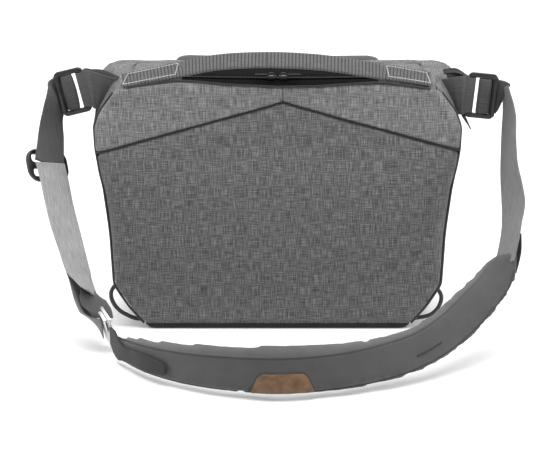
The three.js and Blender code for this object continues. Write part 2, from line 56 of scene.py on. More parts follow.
# ---------------------------------------------------------------- small geometry tools
def smooth_line(points, spread):
    """Value along a broken line through (position, value) points, softened over a spread."""
    at = np.arange(points[0][0], points[-1][0] + 0.5, 0.5)
    values = np.interp(at, *zip(*points))
    if spread:
        reach = int(spread * 2)
        kernel = np.hanning(2 * reach + 3)[1:-1]
        padded = np.pad(values, reach, mode="reflect", reflect_type="odd")
        values = np.convolve(padded, kernel / kernel.sum(), mode="valid")
    return lambda position: np.interp(position, at, values)


def steps(length, pitch, edge=(0.6, 1.3, 2.2, 3.4, 5.0)):
    """Positions from 0 to 1 along a length: close together near both ends, even between."""
    inner = np.linspace(edge[-1] + pitch / 2, length - edge[-1] - pitch / 2,
                        max(2, int((length - 2 * edge[-1]) / pitch)))
    places = [0, *edge, *inner, *(length - e for e in edge[::-1]), length]
    return np.array(places) / length


def normals_of(grid):
    along = np.gradient(grid, axis=1)
    up = np.gradient(grid, axis=0)
    normal = np.cross(along, up)
    length = np.linalg.norm(normal, axis=2, keepdims=True)
    return normal / np.maximum(length, 1e-9)


def edge_gaps(grid):
    """Distance of each grid point from the grid's first and last column, and row, along the cloth."""
    across = np.linalg.norm(np.diff(grid, axis=1), axis=2)
    upward = np.linalg.norm(np.diff(grid, axis=0), axis=2)
    left = np.concatenate([np.zeros((len(grid), 1)), np.cumsum(across, 1)], 1)
    low = np.concatenate([np.zeros((1, grid.shape[1])), np.cumsum(upward, 0)], 0)
    return left, left[:, -1:] - left, low, low[-1:] - low


def bumpy(grid, size, seed):
    """Smooth noise from -1 to 1 at every grid point, with features of a size in millimetres."""
    flat = grid.reshape(-1, 3) / size + seed * 7.31
    values = [noise.noise(Vector(p)) for p in flat]
    return np.array(values).reshape(grid.shape[:2])


def tuck(gap, depth, width):
    return depth * np.exp(-(gap / width) ** 2)


def make(name, points, faces, uvs=None, smooth=True):
    """Mesh object from points in millimetres; uvs are one pair per point, in millimetres."""
    mesh = bpy.data.meshes.new(name)
    mesh.from_pydata([tuple(p) for p in np.asarray(points, float) * MM], [], faces)
    if uvs is not None:
        layer = mesh.uv_layers.new(name="UVMap")
        corner = np.empty(len(mesh.loops), dtype=np.int32)
        mesh.loops.foreach_get("vertex_index", corner)
        layer.data.foreach_set("uv",
            (np.asarray(uvs, float)[corner] * MM).ravel().astype(np.float32))
    mesh.polygons.foreach_set("use_smooth", [smooth] * len(mesh.polygons))
    obj = bpy.data.objects.new(name, mesh)
    bpy.context.collection.objects.link(obj)
    return obj


def settle(obj):
    """Applies every modifier of an object to its mesh."""
    shape = obj.evaluated_get(bpy.context.evaluated_depsgraph_get())
    mesh = bpy.data.meshes.new_from_object(shape)
    obj.modifiers.clear()
    obj.data = mesh
    return obj


def place(obj, material, body, nodes=(), blend=None):
    """Gives a finished piece its material, CAD nodes and body."""
    obj.data.materials.clear()
    obj.data.materials.append(material)
    if nodes:
        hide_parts(*nodes)
    if blend:
        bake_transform(obj)
    else:
        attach(obj, body)
    return obj


def grid_mesh(name, grid, uv, flip=False, closed=False, caps=False):
    """Quads over a grid of points: rows x columns x 3. Closed grids join last column to first."""
    rows, cols = grid.shape[:2]
    faces = []
    for i in range(rows - 1):
        for j in range(cols if closed else cols - 1):
            k = (j + 1) % cols
            face = (i * cols + j, i * cols + k, (i + 1) * cols + k, (i + 1) * cols + j)
            faces.append(face[::-1] if flip else face)
    if caps:
        first = tuple(range(cols))
        last = tuple((rows - 1) * cols + j for j in range(cols))
        faces.append(first if flip else first[::-1])
        faces.append(last[::-1] if flip else last)
    return make(name, grid.reshape(-1, 3), faces, uv.reshape(-1, 2))


def thicken(obj, thickness):
    """Turns a sheet into a closed panel, growing inwards."""
    solid = obj.modifiers.new("thickness", "SOLIDIFY")
    solid.thickness = thickness * MM
    solid.offset = -1
    return settle(obj)


def spline(points, u):
    """Centripetal Catmull-Rom curve through points, at places u from 0 to 1."""
    pts = [np.array(p, float) for p in points]
    pts = [2 * pts[0] - pts[1], *pts, 2 * pts[-1] - pts[-2]]
    spans = len(points) - 1
    out = []
    for place_ in np.atleast_1d(u):
        at = min(max(place_, 0), 1) * spans
        k = min(int(at), spans - 1)
        w = at - k
        p = pts[k:k + 4]
        d = [max(np.linalg.norm(p[i + 1] - p[i]), 1e-6) ** 0.5 for i in range(3)]
        t1 = (p[1] - p[0]) / d[0] - (p[2] - p[0]) / (d[0] + d[1]) + (p[2] - p[1]) / d[1]
        t2 = (p[2] - p[1]) / d[1] - (p[3] - p[1]) / (d[1] + d[2]) + (p[3] - p[2]) / d[2]
        t1, t2 = t1 * d[1], t2 * d[1]
        a = 2 * p[1] - 2 * p[2] + t1 + t2
        b = -3 * p[1] + 3 * p[2] - 2 * t1 - t2
        out.append(a * w ** 3 + b * w ** 2 + t1 * w + p[1])
    return np.array(out)


def unit(v):
    v = np.asarray(v, float)
    return v / np.maximum(np.linalg.norm(v, axis=-1, keepdims=True), 1e-9)


def route(stops, count):
    """Frames along a strap: middle, across, normal, width, thickness, length so far.

    Each stop is (middle, across, width, thickness) and, where a strap fans round inside its
    own plane, also its normal.
    """
    u = np.linspace(0, 1, count)
    middle = spline([s[0] for s in stops], u)
    along = unit(np.gradient(middle, axis=0))
    spot = u * (len(stops) - 1)
    numbers = range(len(stops))
    wanted = unit(np.stack([np.interp(spot, numbers, [s[1][i] for s in stops]) for i in range(3)],
        1))
    across = unit(wanted - along * (wanted * along).sum(1, keepdims=True))
    normal = np.cross(along, across)
    for i, at in enumerate(spot):
        k = min(int(at), len(stops) - 2)
        if len(stops[k]) > 4 and len(stops[k + 1]) > 4:
            f = at - k
            normal[i] = unit(np.array(stops[k][4]) * (1 - f) + np.array(stops[k + 1][4]) * f)
            across[i] = wanted[i]
    for _ in range(4):
        across[1:-1] = unit(across[:-2] + 2 * across[1:-1] + across[2:])
        normal[1:-1] = unit(normal[:-2] + 2 * normal[1:-1] + normal[2:])
    width = np.interp(spot, numbers, [s[2] for s in stops])
    thick = np.interp(spot, numbers, [s[3] for s in stops])
    far = np.concatenate([[0], np.cumsum(np.linalg.norm(np.diff(middle, axis=0), axis=1))])
    return middle, across, normal, width, thick, far


def ribbon(name, stops, count=60, rib=0.0, rib_pitch=3.4, curl=0.0):
    """Flat webbing with rounded edges; rib is the height of cross ribs, curl cups the strap."""
    middle, across, normal, width, thick, far = route(stops, count)
    side = [-1, -0.975, -0.93, -0.82, -0.5, 0, 0.5, 0.82, 0.93, 0.975, 1]
    lift = [0.15, 0.62, 0.9, 1, 0.96, 0.95, 0.96, 1, 0.9, 0.62, 0.15]
    ring = [(a, b) for a, b in zip(side, lift)] + [(a, -b) for a, b in zip(side[::-1], lift[::-1])]
    ribs = 1 + rib * (np.abs(np.sin(np.pi * far / rib_pitch)) ** 0.7 - 0.6)
    grid, uv = [], []
    for a, b in ring:
        swell = np.where(abs(a) < 0.9, ribs, 1)
        bow = curl * (a * a - 0.4)
        grid.append(middle + across * (a * width / 2)[:, None]
                    + normal * (b * thick / 2 * swell + bow)[:, None])
        uv.append(np.stack([far, a * width / 2 + (100 if b < 0 else 0)], 1))
    grid, uv = np.stack(grid, 1), np.stack(uv, 1)
    return grid_mesh(name, grid, uv, closed=True, caps=True, flip=True)


def rope(name, points, radius, count=48, sides=10, flat=1.0):
    """Round or oval cord along points."""
    u = np.linspace(0, 1, count)
    middle = spline(points, u)
    along = unit(np.gradient(middle, axis=0))
    ref = unit(np.cross(along[0], [0.31, 0.47, 0.83]))
    grid, uv = [], []
    far = np.concatenate([[0], np.cumsum(np.linalg.norm(np.diff(middle, axis=0), axis=1))])
    for m, t, f in zip(middle, along, far):
        ref = unit(ref - t * np.dot(ref, t))
        other = np.cross(t, ref)
        angle = np.linspace(0, 2 * np.pi, sides, endpoint=False)
        grid.append(m + radius * (np.outer(np.cos(angle), ref) + flat * np.outer(np.sin(angle),
            other)))
        uv.append(np.stack([np.full(sides, f), angle * radius], 1))
    return grid_mesh(name, np.array(grid), np.array(uv), closed=True, caps=True)


def stitches(name, points, normals, pitch=3.0, length=2.2, radius=0.32):
    """Row of thread stitches along a line of points, lying on the surface."""
    points, normals = np.asarray(points, float), unit(normals)
    far = np.concatenate([[0], np.cumsum(np.linalg.norm(np.diff(points, axis=0), axis=1))])
    verts, faces = [], []
    sides = 6
    profile = [(-0.5, 0.35), (-0.36, 0.9), (0, 1.15), (0.36, 0.9), (0.5, 0.35)]
    for s in np.arange(pitch / 2, far[-1], pitch):
        at = [np.interp(s, far, points[:, i]) for i in range(3)]
        n = unit([np.interp(s, far, normals[:, i]) for i in range(3)])
        k = min(np.searchsorted(far, s), len(far) - 1)
        t = unit(points[k] - points[k - 1])
        b = np.cross(t, n)
        base = len(verts)
        for along, fat in profile:
            for j in range(sides):
                angle = 2 * math.pi * j / sides
                sink = radius * 0.35 * math.cos(math.pi * along) - radius * 0.1
                verts.append(np.array(at) + t * along * length
                             + n * (fat * radius * math.sin(angle) + sink)
                             + b * fat * radius * math.cos(angle))
        for i in range(len(profile) - 1):
            for j in range(sides):
                k2 = (j + 1) % sides
                faces.append((base + i * sides + j, base + i * sides + k2,
                              base + (i + 1) * sides + k2, base + (i + 1) * sides + j))
        faces.append(tuple(base + j for j in range(sides))[::-1])
        faces.append(tuple(base + (len(profile) - 1) * sides + j for j in range(sides)))
    uv = np.array(verts)[:, [0, 2]]
    return make(name, verts, faces, uv)


def rounded_rect(width, height, radius, turns=6):
    points = []
    for sx, sy, start in [(1, -1, -90), (1, 1, 0), (-1, 1, 90), (-1, -1, 180)]:
        for i in range(turns + 1):
            a = math.radians(start + 90 * i / turns)
            points.append((sx * (width / 2 - radius) + radius * math.cos(a),
                           sy * (height / 2 - radius) + radius * math.sin(a)))
    return points


def plate(name, outlines, thickness, bevel, matrix):
    """Bevelled flat plate with holes: closed outlines in its own x-z plane, then placed."""
    curve = bpy.data.curves.new(name + "_outline", "CURVE")
    curve.dimensions = "2D"
    curve.fill_mode = "BOTH"
    curve.extrude = (thickness / 2 - bevel) * MM
    curve.bevel_depth = bevel * MM
    curve.bevel_resolution = 3
    curve.offset = -bevel * MM
    for outline in outlines:
        line = curve.splines.new("POLY")
        line.points.add(len(outline) - 1)
        for point, (x, z) in zip(line.points, outline):
            point.co = (x * MM, z * MM, 0, 1)
        line.use_cyclic_u = True
    temp = bpy.data.objects.new(name + "_outline", curve)
    bpy.context.collection.objects.link(temp)
    mesh = bpy.data.meshes.new_from_object(temp.evaluated_get(bpy.context.evaluated_depsgraph_get()))
    bpy.data.objects.remove(temp)
    mesh.transform(Matrix.Rotation(math.pi / 2, 4, "X"))
    mesh.transform(matrix)
    obj = bpy.data.objects.new(name, mesh)
    bpy.context.collection.objects.link(obj)
    weld = obj.modifiers.new("weld", "WELD")
    weld.merge_threshold = 0.00001
    settle(obj)
    obj.data.polygons.foreach_set("use_smooth", [True] * len(obj.data.polygons))
    obj.data.set_sharp_from_angle(angle=math.radians(40))
    return obj


def join(name, objects):
    """Joins meshes that are one physical piece."""
    context = bpy.context
    for o in context.selected_objects:
        o.select_set(False)
    for o in objects:
        o.select_set(True)
    context.view_layer.objects.active = objects[0]
    bpy.ops.object.join()
    objects[0].name = name
    return objects[0]


def placed(origin, along, across):
    """Matrix whose x runs along the strap, z across it and y out of its plane."""
    x = unit(along)
    z = unit(np.array(across) - x * np.dot(across, x))
    y = np.cross(z, x)
    m = Matrix.Identity(4)
    for i in range(3):
        m[i][0], m[i][1], m[i][2], m[i][3] = x[i], y[i], z[i], origin[i] * MM
    return m


def rounded_rings(low, high, radius):
    """Rounded block as rings along x, in millimetres."""
    size = np.array(high) - np.array(low)
    mid = (np.array(high) + np.array(low)) / 2
    rows, uv = [], []
    for f, shrink in [(0, radius), (radius * 0.3, radius * 0.3), (radius, 0),
                      (size[0] - radius, 0), (size[0] - radius * 0.3, radius * 0.3),
                      (size[0], radius)]:
        ring = rounded_rect(size[1] - 2 * shrink, size[2] - 2 * shrink, max(radius - shrink, 0.05),
            4)
        rows.append([(low[0] + f, mid[1] + a, mid[2] + b) for a, b in ring])
        uv.append([(f, a + b) for a, b in ring])
    return np.array(rows), np.array(uv)


def block(name, low, high, radius, matrix=None):
    grid, uv = rounded_rings(low, high, radius)
    obj = grid_mesh(name, grid, uv, closed=True, caps=True)
    if matrix is not None:
        obj.data.transform(matrix)
    return obj


# ---------------------------------------------------------------- materials
def node(tree, kind, inputs=None, **settings):
    n = tree.nodes.new(kind)
    for key, value in settings.items():
        setattr(n, key, value)
    for key, value in (inputs or {}).items():
        if isinstance(value, bpy.types.NodeSocket):
            tree.links.new(value, n.inputs[key])
        else:
            n.inputs[key].default_value = value
    return n


def math_node(tree, operation, a, b=0.0):
    return node(tree, "ShaderNodeMath", {0: a, 1: b}, operation=operation).outputs[0]


def linear(value):
    """Linear grey or colour from 0-255 display values."""
    values = [value] * 3 if np.isscalar(value) else value
    return [((v / 255 + 0.055) / 1.055) ** 2.4 if v > 10 else v / 255 / 12.92 for v in values] + [1]


class Paint:
    """One material: builds a node tree around its Principled shader."""

    def __init__(self, name, roughness, metallic=0.0, sheen=0.0, specular=0.3):
        self.material = bpy.data.materials.new(name)
        self.material.use_nodes = True
        self.tree = self.material.node_tree
        self.shader = self.tree.nodes["Principled BSDF"]
        self.shader.inputs["Roughness"].default_value = roughness
        self.shader.inputs["Metallic"].default_value = metallic
        self.shader.inputs["Specular IOR Level"].default_value = specular
        if sheen:
            self.shader.inputs["Sheen Weight"].default_value = sheen
            self.shader.inputs["Sheen Roughness"].default_value = 0.6
        uv = node(self.tree, "ShaderNodeUVMap", uv_map="UVMap").outputs["UV"]
        self.uv = node(self.tree, "ShaderNodeVectorMath", {0: uv, 1: (1000, 1000, 1000)},
                       operation="MULTIPLY").outputs[0]
        self.solid = node(self.tree, "ShaderNodeTexCoord").outputs["Object"]

    def noise(self, scale, detail=2.0, shift=0.0, vector=None):
        scale = (scale,) * 3 if np.isscalar(scale) else scale
        moved = node(self.tree, "ShaderNodeMapping",
                     {"Vector": vector or self.uv, "Location": (shift, shift * 1.7, 0),
                     "Scale": scale})
        return node(self.tree, "ShaderNodeTexNoise",
                    {"Vector": moved.outputs[0], "Scale": 1.0, "Detail": detail, "Roughness": 0.5}
                    ).outputs["Fac"]

    def grain(self, size, detail=3.0, shift=0.0):
        """Noise in object space, with features of a size in millimetres."""
        return self.noise(1000 / size, detail, shift, self.solid)

    def ramp(self, value, stops):
        n = node(self.tree, "ShaderNodeValToRGB", {"Fac": value})
        elements = n.color_ramp.elements
        while len(elements) < len(stops):
            elements.new(0.5)
        for element, (at, colour) in zip(elements, stops):
            element.position = at
            element.color = linear(colour)
        return n.outputs["Color"]

    def sine(self, axis, pitch, phase=0.0):
        split = node(self.tree, "ShaderNodeSeparateXYZ", {0: self.uv}).outputs[axis]
        turned = math_node(self.tree, "MULTIPLY", split, 2 * math.pi / pitch)
        return math_node(self.tree, "SINE", math_node(self.tree, "ADD", turned, phase))

    def times(self, a, b):
        return math_node(self.tree, "MULTIPLY", a, b)

    def plus(self, a, b):
        return math_node(self.tree, "ADD", a, b)

    def shade(self, colour, factor, amount, tone=0):
        """Mixes a colour towards a grey tone by a 0-1 factor."""
        n = node(self.tree, "ShaderNodeMix", data_type="RGBA", blend_type="MIX")
        self.tree.links.new(self.times(factor, amount), n.inputs[0])
        self.tree.links.new(colour, n.inputs[6])
        n.inputs[7].default_value = linear(tone)
        return n.outputs[2]

    def finish(self, colour, height=None, distance=0.3, strength=0.5, rough=None):
        self.tree.links.new(colour, self.shader.inputs["Base Color"])
        if height is not None:
            bump = node(self.tree, "ShaderNodeBump",
                        {"Height": height, "Strength": strength, "Distance": distance * MM})
            self.tree.links.new(bump.outputs[0], self.shader.inputs["Normal"])
        if rough is not None:
            self.tree.links.new(rough, self.shader.inputs["Roughness"])
        return self.material


def heather(name, dark, middle, light):
    """Plain weave of mixed light and dark yarns that run along and across the cloth."""
    p = Paint(name, 0.88, sheen=0.15, specular=0.2)
    warp = p.noise((1.2, 0.08, 1), 2.0, 3.1)
    weft = p.noise((0.08, 1.2, 1), 2.0, 8.4)
    fine = p.noise((1.9, 1.8, 1), 2.0, 1.2)
    mixed = p.plus(p.times(warp, 0.42), p.plus(p.times(weft, 0.36), p.times(fine, 0.22)))
    colour = p.ramp(mixed, [(0.39, dark), (0.5, middle), (0.61, light)])
    colour = p.shade(colour, p.noise(0.018, 2.0, 2.2), 0.1, 50)
    cells = p.times(p.sine(0, 1.1), p.sine(1, 1.1, 0.6))
    height = p.plus(p.times(cells, 0.5), p.times(mixed, 1.6))
    rough = p.plus(p.times(mixed, 0.2), 0.78)
    return p.finish(colour, height, 0.4, 0.6, rough)


def webbing(name, dark, light, rib=1.7, pick=1.3, roughness=0.8, streak=0.6, sheen=0.1, groove_shade=0.0,
            specular=0.3):
    """Woven strap: fine ribs along its length, crossed by picks; an optional painted shade darkens
    the grooves between cross ribs.
    """
    p = Paint(name, roughness, sheen=sheen, specular=specular)
    along = p.noise((0.08, 1.1, 1), 2.0, 4.4)
    speck = p.noise((1.4, 1.4, 1), 2.0, 1.9)
    checker = p.times(p.sine(0, pick), p.sine(1, rib))
    tone = p.plus(p.times(along, streak), p.times(speck, 1 - streak))
    tone = p.plus(tone, p.times(checker, 0.05))
    colour = p.ramp(tone, [(0.33, dark), (0.66, light)])
    colour = p.shade(colour, p.noise(0.03, 2.0, 7.7), 0.14, 40)
    # painted shade: darkens the colour in the grooves between cross ribs
    if groove_shade:
        groove_shade_mask = math_node(p.tree, "MAXIMUM", p.sine(0, RIB_PITCH, math.pi / 2), 0.0)
        colour = p.shade(colour, groove_shade_mask, groove_shade, 30)
    height = p.plus(p.times(checker, 0.5),
        p.plus(p.times(p.sine(1, rib), 0.35), p.times(speck, 0.5)))
    return p.finish(colour, height, 0.3, 0.5)


def knit(name, dark, light, sheen=0.2, size=1.0):
    """Fine smooth stretch fabric: small even knit with a soft bloom."""
    p = Paint(name, 0.86, sheen=sheen, specular=0.2)
    speck = p.noise(1.5 / size, 3.0, 3.3)
    soft = p.noise(0.05, 3.0, 6.1)
    tone = p.plus(p.times(speck, 0.7), p.times(soft, 0.3))
    colour = p.ramp(tone, [(0.35, dark), (0.65, light)])
    cells = p.times(p.sine(0, 0.9 * size), p.sine(1, 0.8 * size, 1.0))
    height = p.plus(p.times(cells, 0.6), p.times(speck, 0.8))
    return p.finish(colour, height, 0.2, 0.45)


def pad_knit(name, dark, light, lit_band_dark, lit_band_light):
    """Open mesh on the pad's face and a smoother knit on its rolled upper band, painted lighter there
    for the top light it catches.
    """
    p = Paint(name, 0.86, sheen=0.2, specular=0.2)
    speck = p.noise(1.3, 3.0, 3.3)
    tone = p.plus(p.times(speck, 0.7), p.times(p.noise(0.05, 3.0, 6.1), 0.3))
    split = node(p.tree, "ShaderNodeSeparateXYZ", {0: p.uv}).outputs[1]
    height = math_node(p.tree, "MODULO", split, 100.0)
    band = node(p.tree, "ShaderNodeMapRange",
        {0: height, 1: PAD_WIDTH - BAND - 0.6, 2: PAD_WIDTH - BAND + 0.6}
                ).outputs[0]
    cells = p.times(p.sine(0, 1.9), p.sine(1, 1.7, 1.0))
    face = p.ramp(p.plus(tone, p.times(cells, 0.16)), [(0.33, dark), (0.67, light)])
    # painted light: the upper band's lighter ramp stands in for the top light on the rolled band
    smooth = p.ramp(tone, [(0.35, lit_band_dark), (0.65, lit_band_light)])
    mix = node(p.tree, "ShaderNodeMix", data_type="RGBA", blend_type="MIX")
    for number, value in ((0, band), (6, face), (7, smooth)):
        p.tree.links.new(value, mix.inputs[number])
    bump = p.plus(p.times(p.times(cells, math_node(p.tree, "SUBTRACT", 1.0, band)), 0.8),
        p.times(speck, 0.7))
    return p.finish(mix.outputs[2], bump, 0.25, 0.5)


def plastic(name, tone, roughness=0.38):
    """Moulded nylon: faint orange-peel grain and slightly scuffed gloss."""
    p = Paint(name, roughness, specular=0.5)
    peel = p.grain(0.8, 2.0)
    scuff = p.grain(9.0, 4.0, 3.0)
    colour = p.ramp(scuff, [(0.35, tone), (0.75, tone + 16)])
    rough = p.plus(p.times(scuff, 0.25), roughness - 0.1)
    return p.finish(colour, p.plus(peel, p.times(scuff, 0.4)), 0.08, 0.4, rough)


def metal(name, tone):
    """Satin anodised aluminium with fine brushing and small scratches."""
    p = Paint(name, 0.3, metallic=1.0)
    brush = p.noise((40, 900, 900), 3.0, 0.0, p.solid)
    scratch = p.grain(4.0, 5.0, 2.0)
    colour = p.ramp(p.plus(p.times(brush, 0.4), p.times(scratch, 0.4)),
        [(0.2, tone - 14), (0.6, tone)])
    rough = p.plus(p.times(brush, 0.12), p.plus(p.times(scratch, 0.15), 0.16))
    return p.finish(colour, brush, 0.02, 0.3, rough)


def leather(name):
    """Tan full-grain leather: pebbled grain, pores and a darker rubbed mottling."""
    p = Paint(name, 0.55, specular=0.35)
    voronoi = node(p.tree, "ShaderNodeTexVoronoi",
        {"Vector": p.uv, "Scale": 0.95}).outputs["Distance"]
    mottle = p.noise(0.14, 4.0, 1.0)
    pores = p.noise(2.2, 2.0, 5.0)
    tone = p.plus(p.times(mottle, 0.7), p.times(pores, 0.3))
    colour = p.ramp(tone, [(0.33, (76, 55, 38)), (0.5, (102, 76, 54)), (0.7, (122, 93, 68))])
    height = p.plus(p.times(voronoi, 0.7), p.times(pores, 0.4))
    rough = p.plus(p.times(mottle, 0.3), 0.4)
    return p.finish(colour, height, 0.25, 0.5, rough)


def foam_stuff(name):
    p = Paint(name, 0.95, specular=0.1)
    cells = node(p.tree, "ShaderNodeTexVoronoi",
        {"Vector": p.solid, "Scale": 900.0}).outputs["Distance"]
    colour = p.ramp(p.grain(5.0, 3.0), [(0.3, 176), (0.7, 200)])
    return p.finish(colour, cells, 0.3, 0.6)


RIB_PITCH = 3.5
PAD_WIDTH = 50
BAND = 12.5  # height of the smooth rolled band along the pad's upper edge
SHELL = heather("shell_cloth", 56, 91, 129)
# painted light: the yokes are the same heather cloth as the front panel, given a lighter ramp for the
# light on their backward slope
LIT_YOKE_SHELL = heather("yoke_cloth_painted_light", 72, 110, 150)
TOP_SHELL = heather("top_cloth", 62, 99, 138)
PAD_CLOTH = pad_knit("pad_cloth", 56, 76, 78, 96)
BACK_PAD = knit("back_pad_cloth", 84, 100)
DARK_WEB = webbing("dark_webbing_cloth", 66, 94, streak=0.4)
STRAP_DARK = webbing("strap_dark_cloth", 60, 86)
LIGHT_WEB = webbing("light_webbing_cloth", 114, 174, streak=0.55, pick=1.5)
RIGHT_WEB = webbing("right_webbing_cloth", 92, 134, streak=0.5)
TAIL_WEB = webbing("tail_webbing_cloth", 88, 128, streak=0.5)
# the handle webbing carries painted shade in the grooves between its cross ribs
RIB_WEB = webbing("ribbed_webbing_cloth", 76, 112, rib=1.2, pick=0.9, groove_shade=0.75)
PIPING = webbing("piping_cloth", 40, 62, rib=1.0, pick=1.0)
PAD_SEAM = webbing("pad_seam_cloth", 62, 84, rib=1.0, pick=1.0)
SEAM = webbing("seam_cloth", 22, 40, rib=1.0, pick=1.0)
# painted shade: real black zip tape, made near black so it also stands in for the shadow under the
# handle
TAPE_AND_SHADE = webbing("zip_tape_and_painted_shade_cloth", 6, 12, rib=0.9, pick=0.9, roughness=0.9, sheen=0.0, specular=0.06)
TAB_BLACK = webbing("tab_cloth", 22, 40, rib=1.0, pick=1.0)
BASE_CLOTH = knit("base_cloth", 25, 42, sheen=0.05)
LINING = knit("lining_cloth", 150, 172, sheen=0.3, size=1.4)
THREAD = knit("thread", 176, 206, sheen=0.0, size=0.5)
BLACK = plastic("black_nylon", 23)
TOOTH = plastic("zip_coil", 30, 0.45)
ALUMINIUM = metal("satin_aluminium", 226)
LEATHER = leather("tan_leather")
FOAM = foam_stuff("foam")

# ---------------------------------------------------------------- shape of the bag's walls
half_width = smooth_line([(0, 130), (22, 149), (45, 164), (92, 168), (140, 174.5), (179, 182.5),
                          (201, 183.5), (217, 178), (240.5, 160.5), (254, 152), (264, 148)], 6)
front_y = smooth_line([(0, -69), (46, -70), (90, -69), (150, -64), (179, -57), (217, -50),
                       (243, -46), (256, -44)], 10)
back_y = smooth_line([(0, 58), (130, 60), (262, 58)], 10)
corner = smooth_line([(0, 3), (40, 4), (75, 12), (105, 20), (165, 20), (200, 15), (235, 8),
                      (262, 6)], 10)
front_edge = smooth_line([(-185, -9), (-170, -5), (-158, -1.7), (-130, 2.6), (-103, 6), (-85, 5),
                          (-50, 2), (0, -0.2), (40, 0.5), (80, 3), (105, 4.4), (135, 0.5),
                          (165, -4.7), (185, -9)], 9)
rear_width = smooth_line([(0, 130), (22, 149), (45, 164), (92, 168), (140, 174.5), (179, 182.5),
    (201, 184.5),
                          (224, 186), (243, 183), (254, 170), (264, 164)], 6)
BASE_Z = 4.2
BACK_CORNER = 7.0
APEX = (5.5, 227.5)
CHEVRON_FALL = 0.272


def top_plane(y):
    return 243 + (np.asarray(y, float) + 46) * 10 / 104


def top_z(x, y):
    """Height of the bag's top surface, raised by the handle's ends and low in the middle."""
    fall = np.clip((-14 - y) / 32, 0, 1) ** 1.2
    return top_plane(y) + front_edge(x) * fall


def front_arc(s, z):
    """Point at a distance s round the wall from the front's middle, at a height."""
    w, f, r = half_width(z), front_y(z), corner(z)
    flat = w - r
    turn = np.clip((np.abs(s) - flat) / r, 0, np.pi / 2)
    rest = np.maximum(np.abs(s) - flat - r * np.pi / 2, 0)
    x = np.minimum(np.abs(s), flat) + r * np.sin(turn)
    y = f + r * (1 - np.cos(turn)) + rest
    crown = 3.2 * np.clip(1 - (s / flat) ** 2, 0, 1) * np.clip((225 - z) / 200, 0, 1) ** 0.5
    crown = crown * np.clip(z / 60, 0, 1)
    return np.stack([np.sign(s) * x, y - crown, z + 0 * s], -1)


def seam_arc(z):
    r = corner(z)
    return half_width(z) - r + r * np.pi / 2 * 0.8


def side_x(z, y):
    """Half width of the bag at a depth: its upper corners are cut off only at the front."""
    return half_width(z) + (rear_width(z) - half_width(z)) * np.clip((y + 30) / 55, 0, 1)


def chevron_z(s):
    return APEX[1] - CHEVRON_FALL * np.abs(s - APEX[0])


# front panel, below the chevron seam
def wrinkled(grid, amount, seed, size=70):
    return amount * (bumpy(grid, size, seed) + 0.45 * bumpy(grid, size * 0.38, seed + 2)
                     + 0.15 * bumpy(grid, size * 0.16, seed + 5))


def push(grid, height, flip=False):
    n = normals_of(grid)
    return grid + n * (-1 if flip else 1) * height[..., None]


def front_panel():
    mid = APEX[0] / seam_arc(180)
    left, right = steps(190, 2.8), steps(185, 2.8)
    u = np.concatenate([-1 + left * (1 + mid), mid + right[1:] * (1 - mid)])
    v = steps(215, 2.8)
    vv, uu = np.meshgrid(v, u, indexing="ij")
    top = chevron_z(uu * seam_arc(180)) - 0.7
    z = BASE_Z + vv * (top - BASE_Z)
    s = uu * seam_arc(z)
    grid = front_arc(s, z)
    g0, g1, low, high = edge_gaps(grid)
    height = wrinkled(grid, 0.9, 1) * np.clip(low / 30, 0, 1)
    height = height - tuck(high, 2.2, 2.0) - tuck(low, 1.6, 2.5) - tuck(g0, 1.4, 2.0) - tuck(g1,
        1.4, 2.0)
    height += 1.2 * np.exp(-((high - 16) / 15) ** 2)
    obj = grid_mesh("front_panel_cloth", push(grid, height), np.stack([s, z], -1))
    return place(thicken(obj, 1.7), SHELL, "bag", ["front_panel"])


def yoke(name, side, node_name):
    mid = APEX[0] / seam_arc(180)
    part = steps(185, 2.6)
    u = -1 + part * (1 + mid) if side < 0 else mid + part * (1 - mid)
    v = steps(40, 2.2)
    vv, uu = np.meshgrid(v, u, indexing="ij")
    low_z = chevron_z(uu * seam_arc(180)) + 0.5
    y_edge = front_arc(uu * seam_arc(238), 238 + 0 * uu)[..., 1]
    edge_x = front_arc(uu * seam_arc(238), 238 + 0 * uu)[..., 0]
    top = top_z(edge_x, y_edge) - 0.3
    z = low_z + vv * (top - low_z)
    s = uu * seam_arc(z)
    grid = front_arc(s, z)
    g0, g1, low, high = edge_gaps(grid)
    folds = np.sin((s * 0.9 + z * 1.9) / 26.0) * 0.8 + np.sin((s * 1.4 - z * 1.1) / 34.0) * 0.6
    height = wrinkled(grid, 1.5, 3 + side, 52) + folds * np.clip(low / 12, 0, 1) * np.clip(high / 8,
        0, 1)
    height = height * np.clip(np.minimum(g0, g1) / 12, 0.2, 1)
    height += 1.3 - tuck(low, 2.4, 1.1) - tuck(high, 2.4, 2.6)
    outer, inner = (g0, g1) if side < 0 else (g1, g0)
    height -= tuck(outer, 2.6, 2.2) + tuck(inner, 1.7, 1.2)
    obj = grid_mesh(name, push(grid, height), np.stack([s, z + side * 37], -1))
    return place(thicken(obj, 1.5), LIT_YOKE_SHELL, "bag", [node_name])


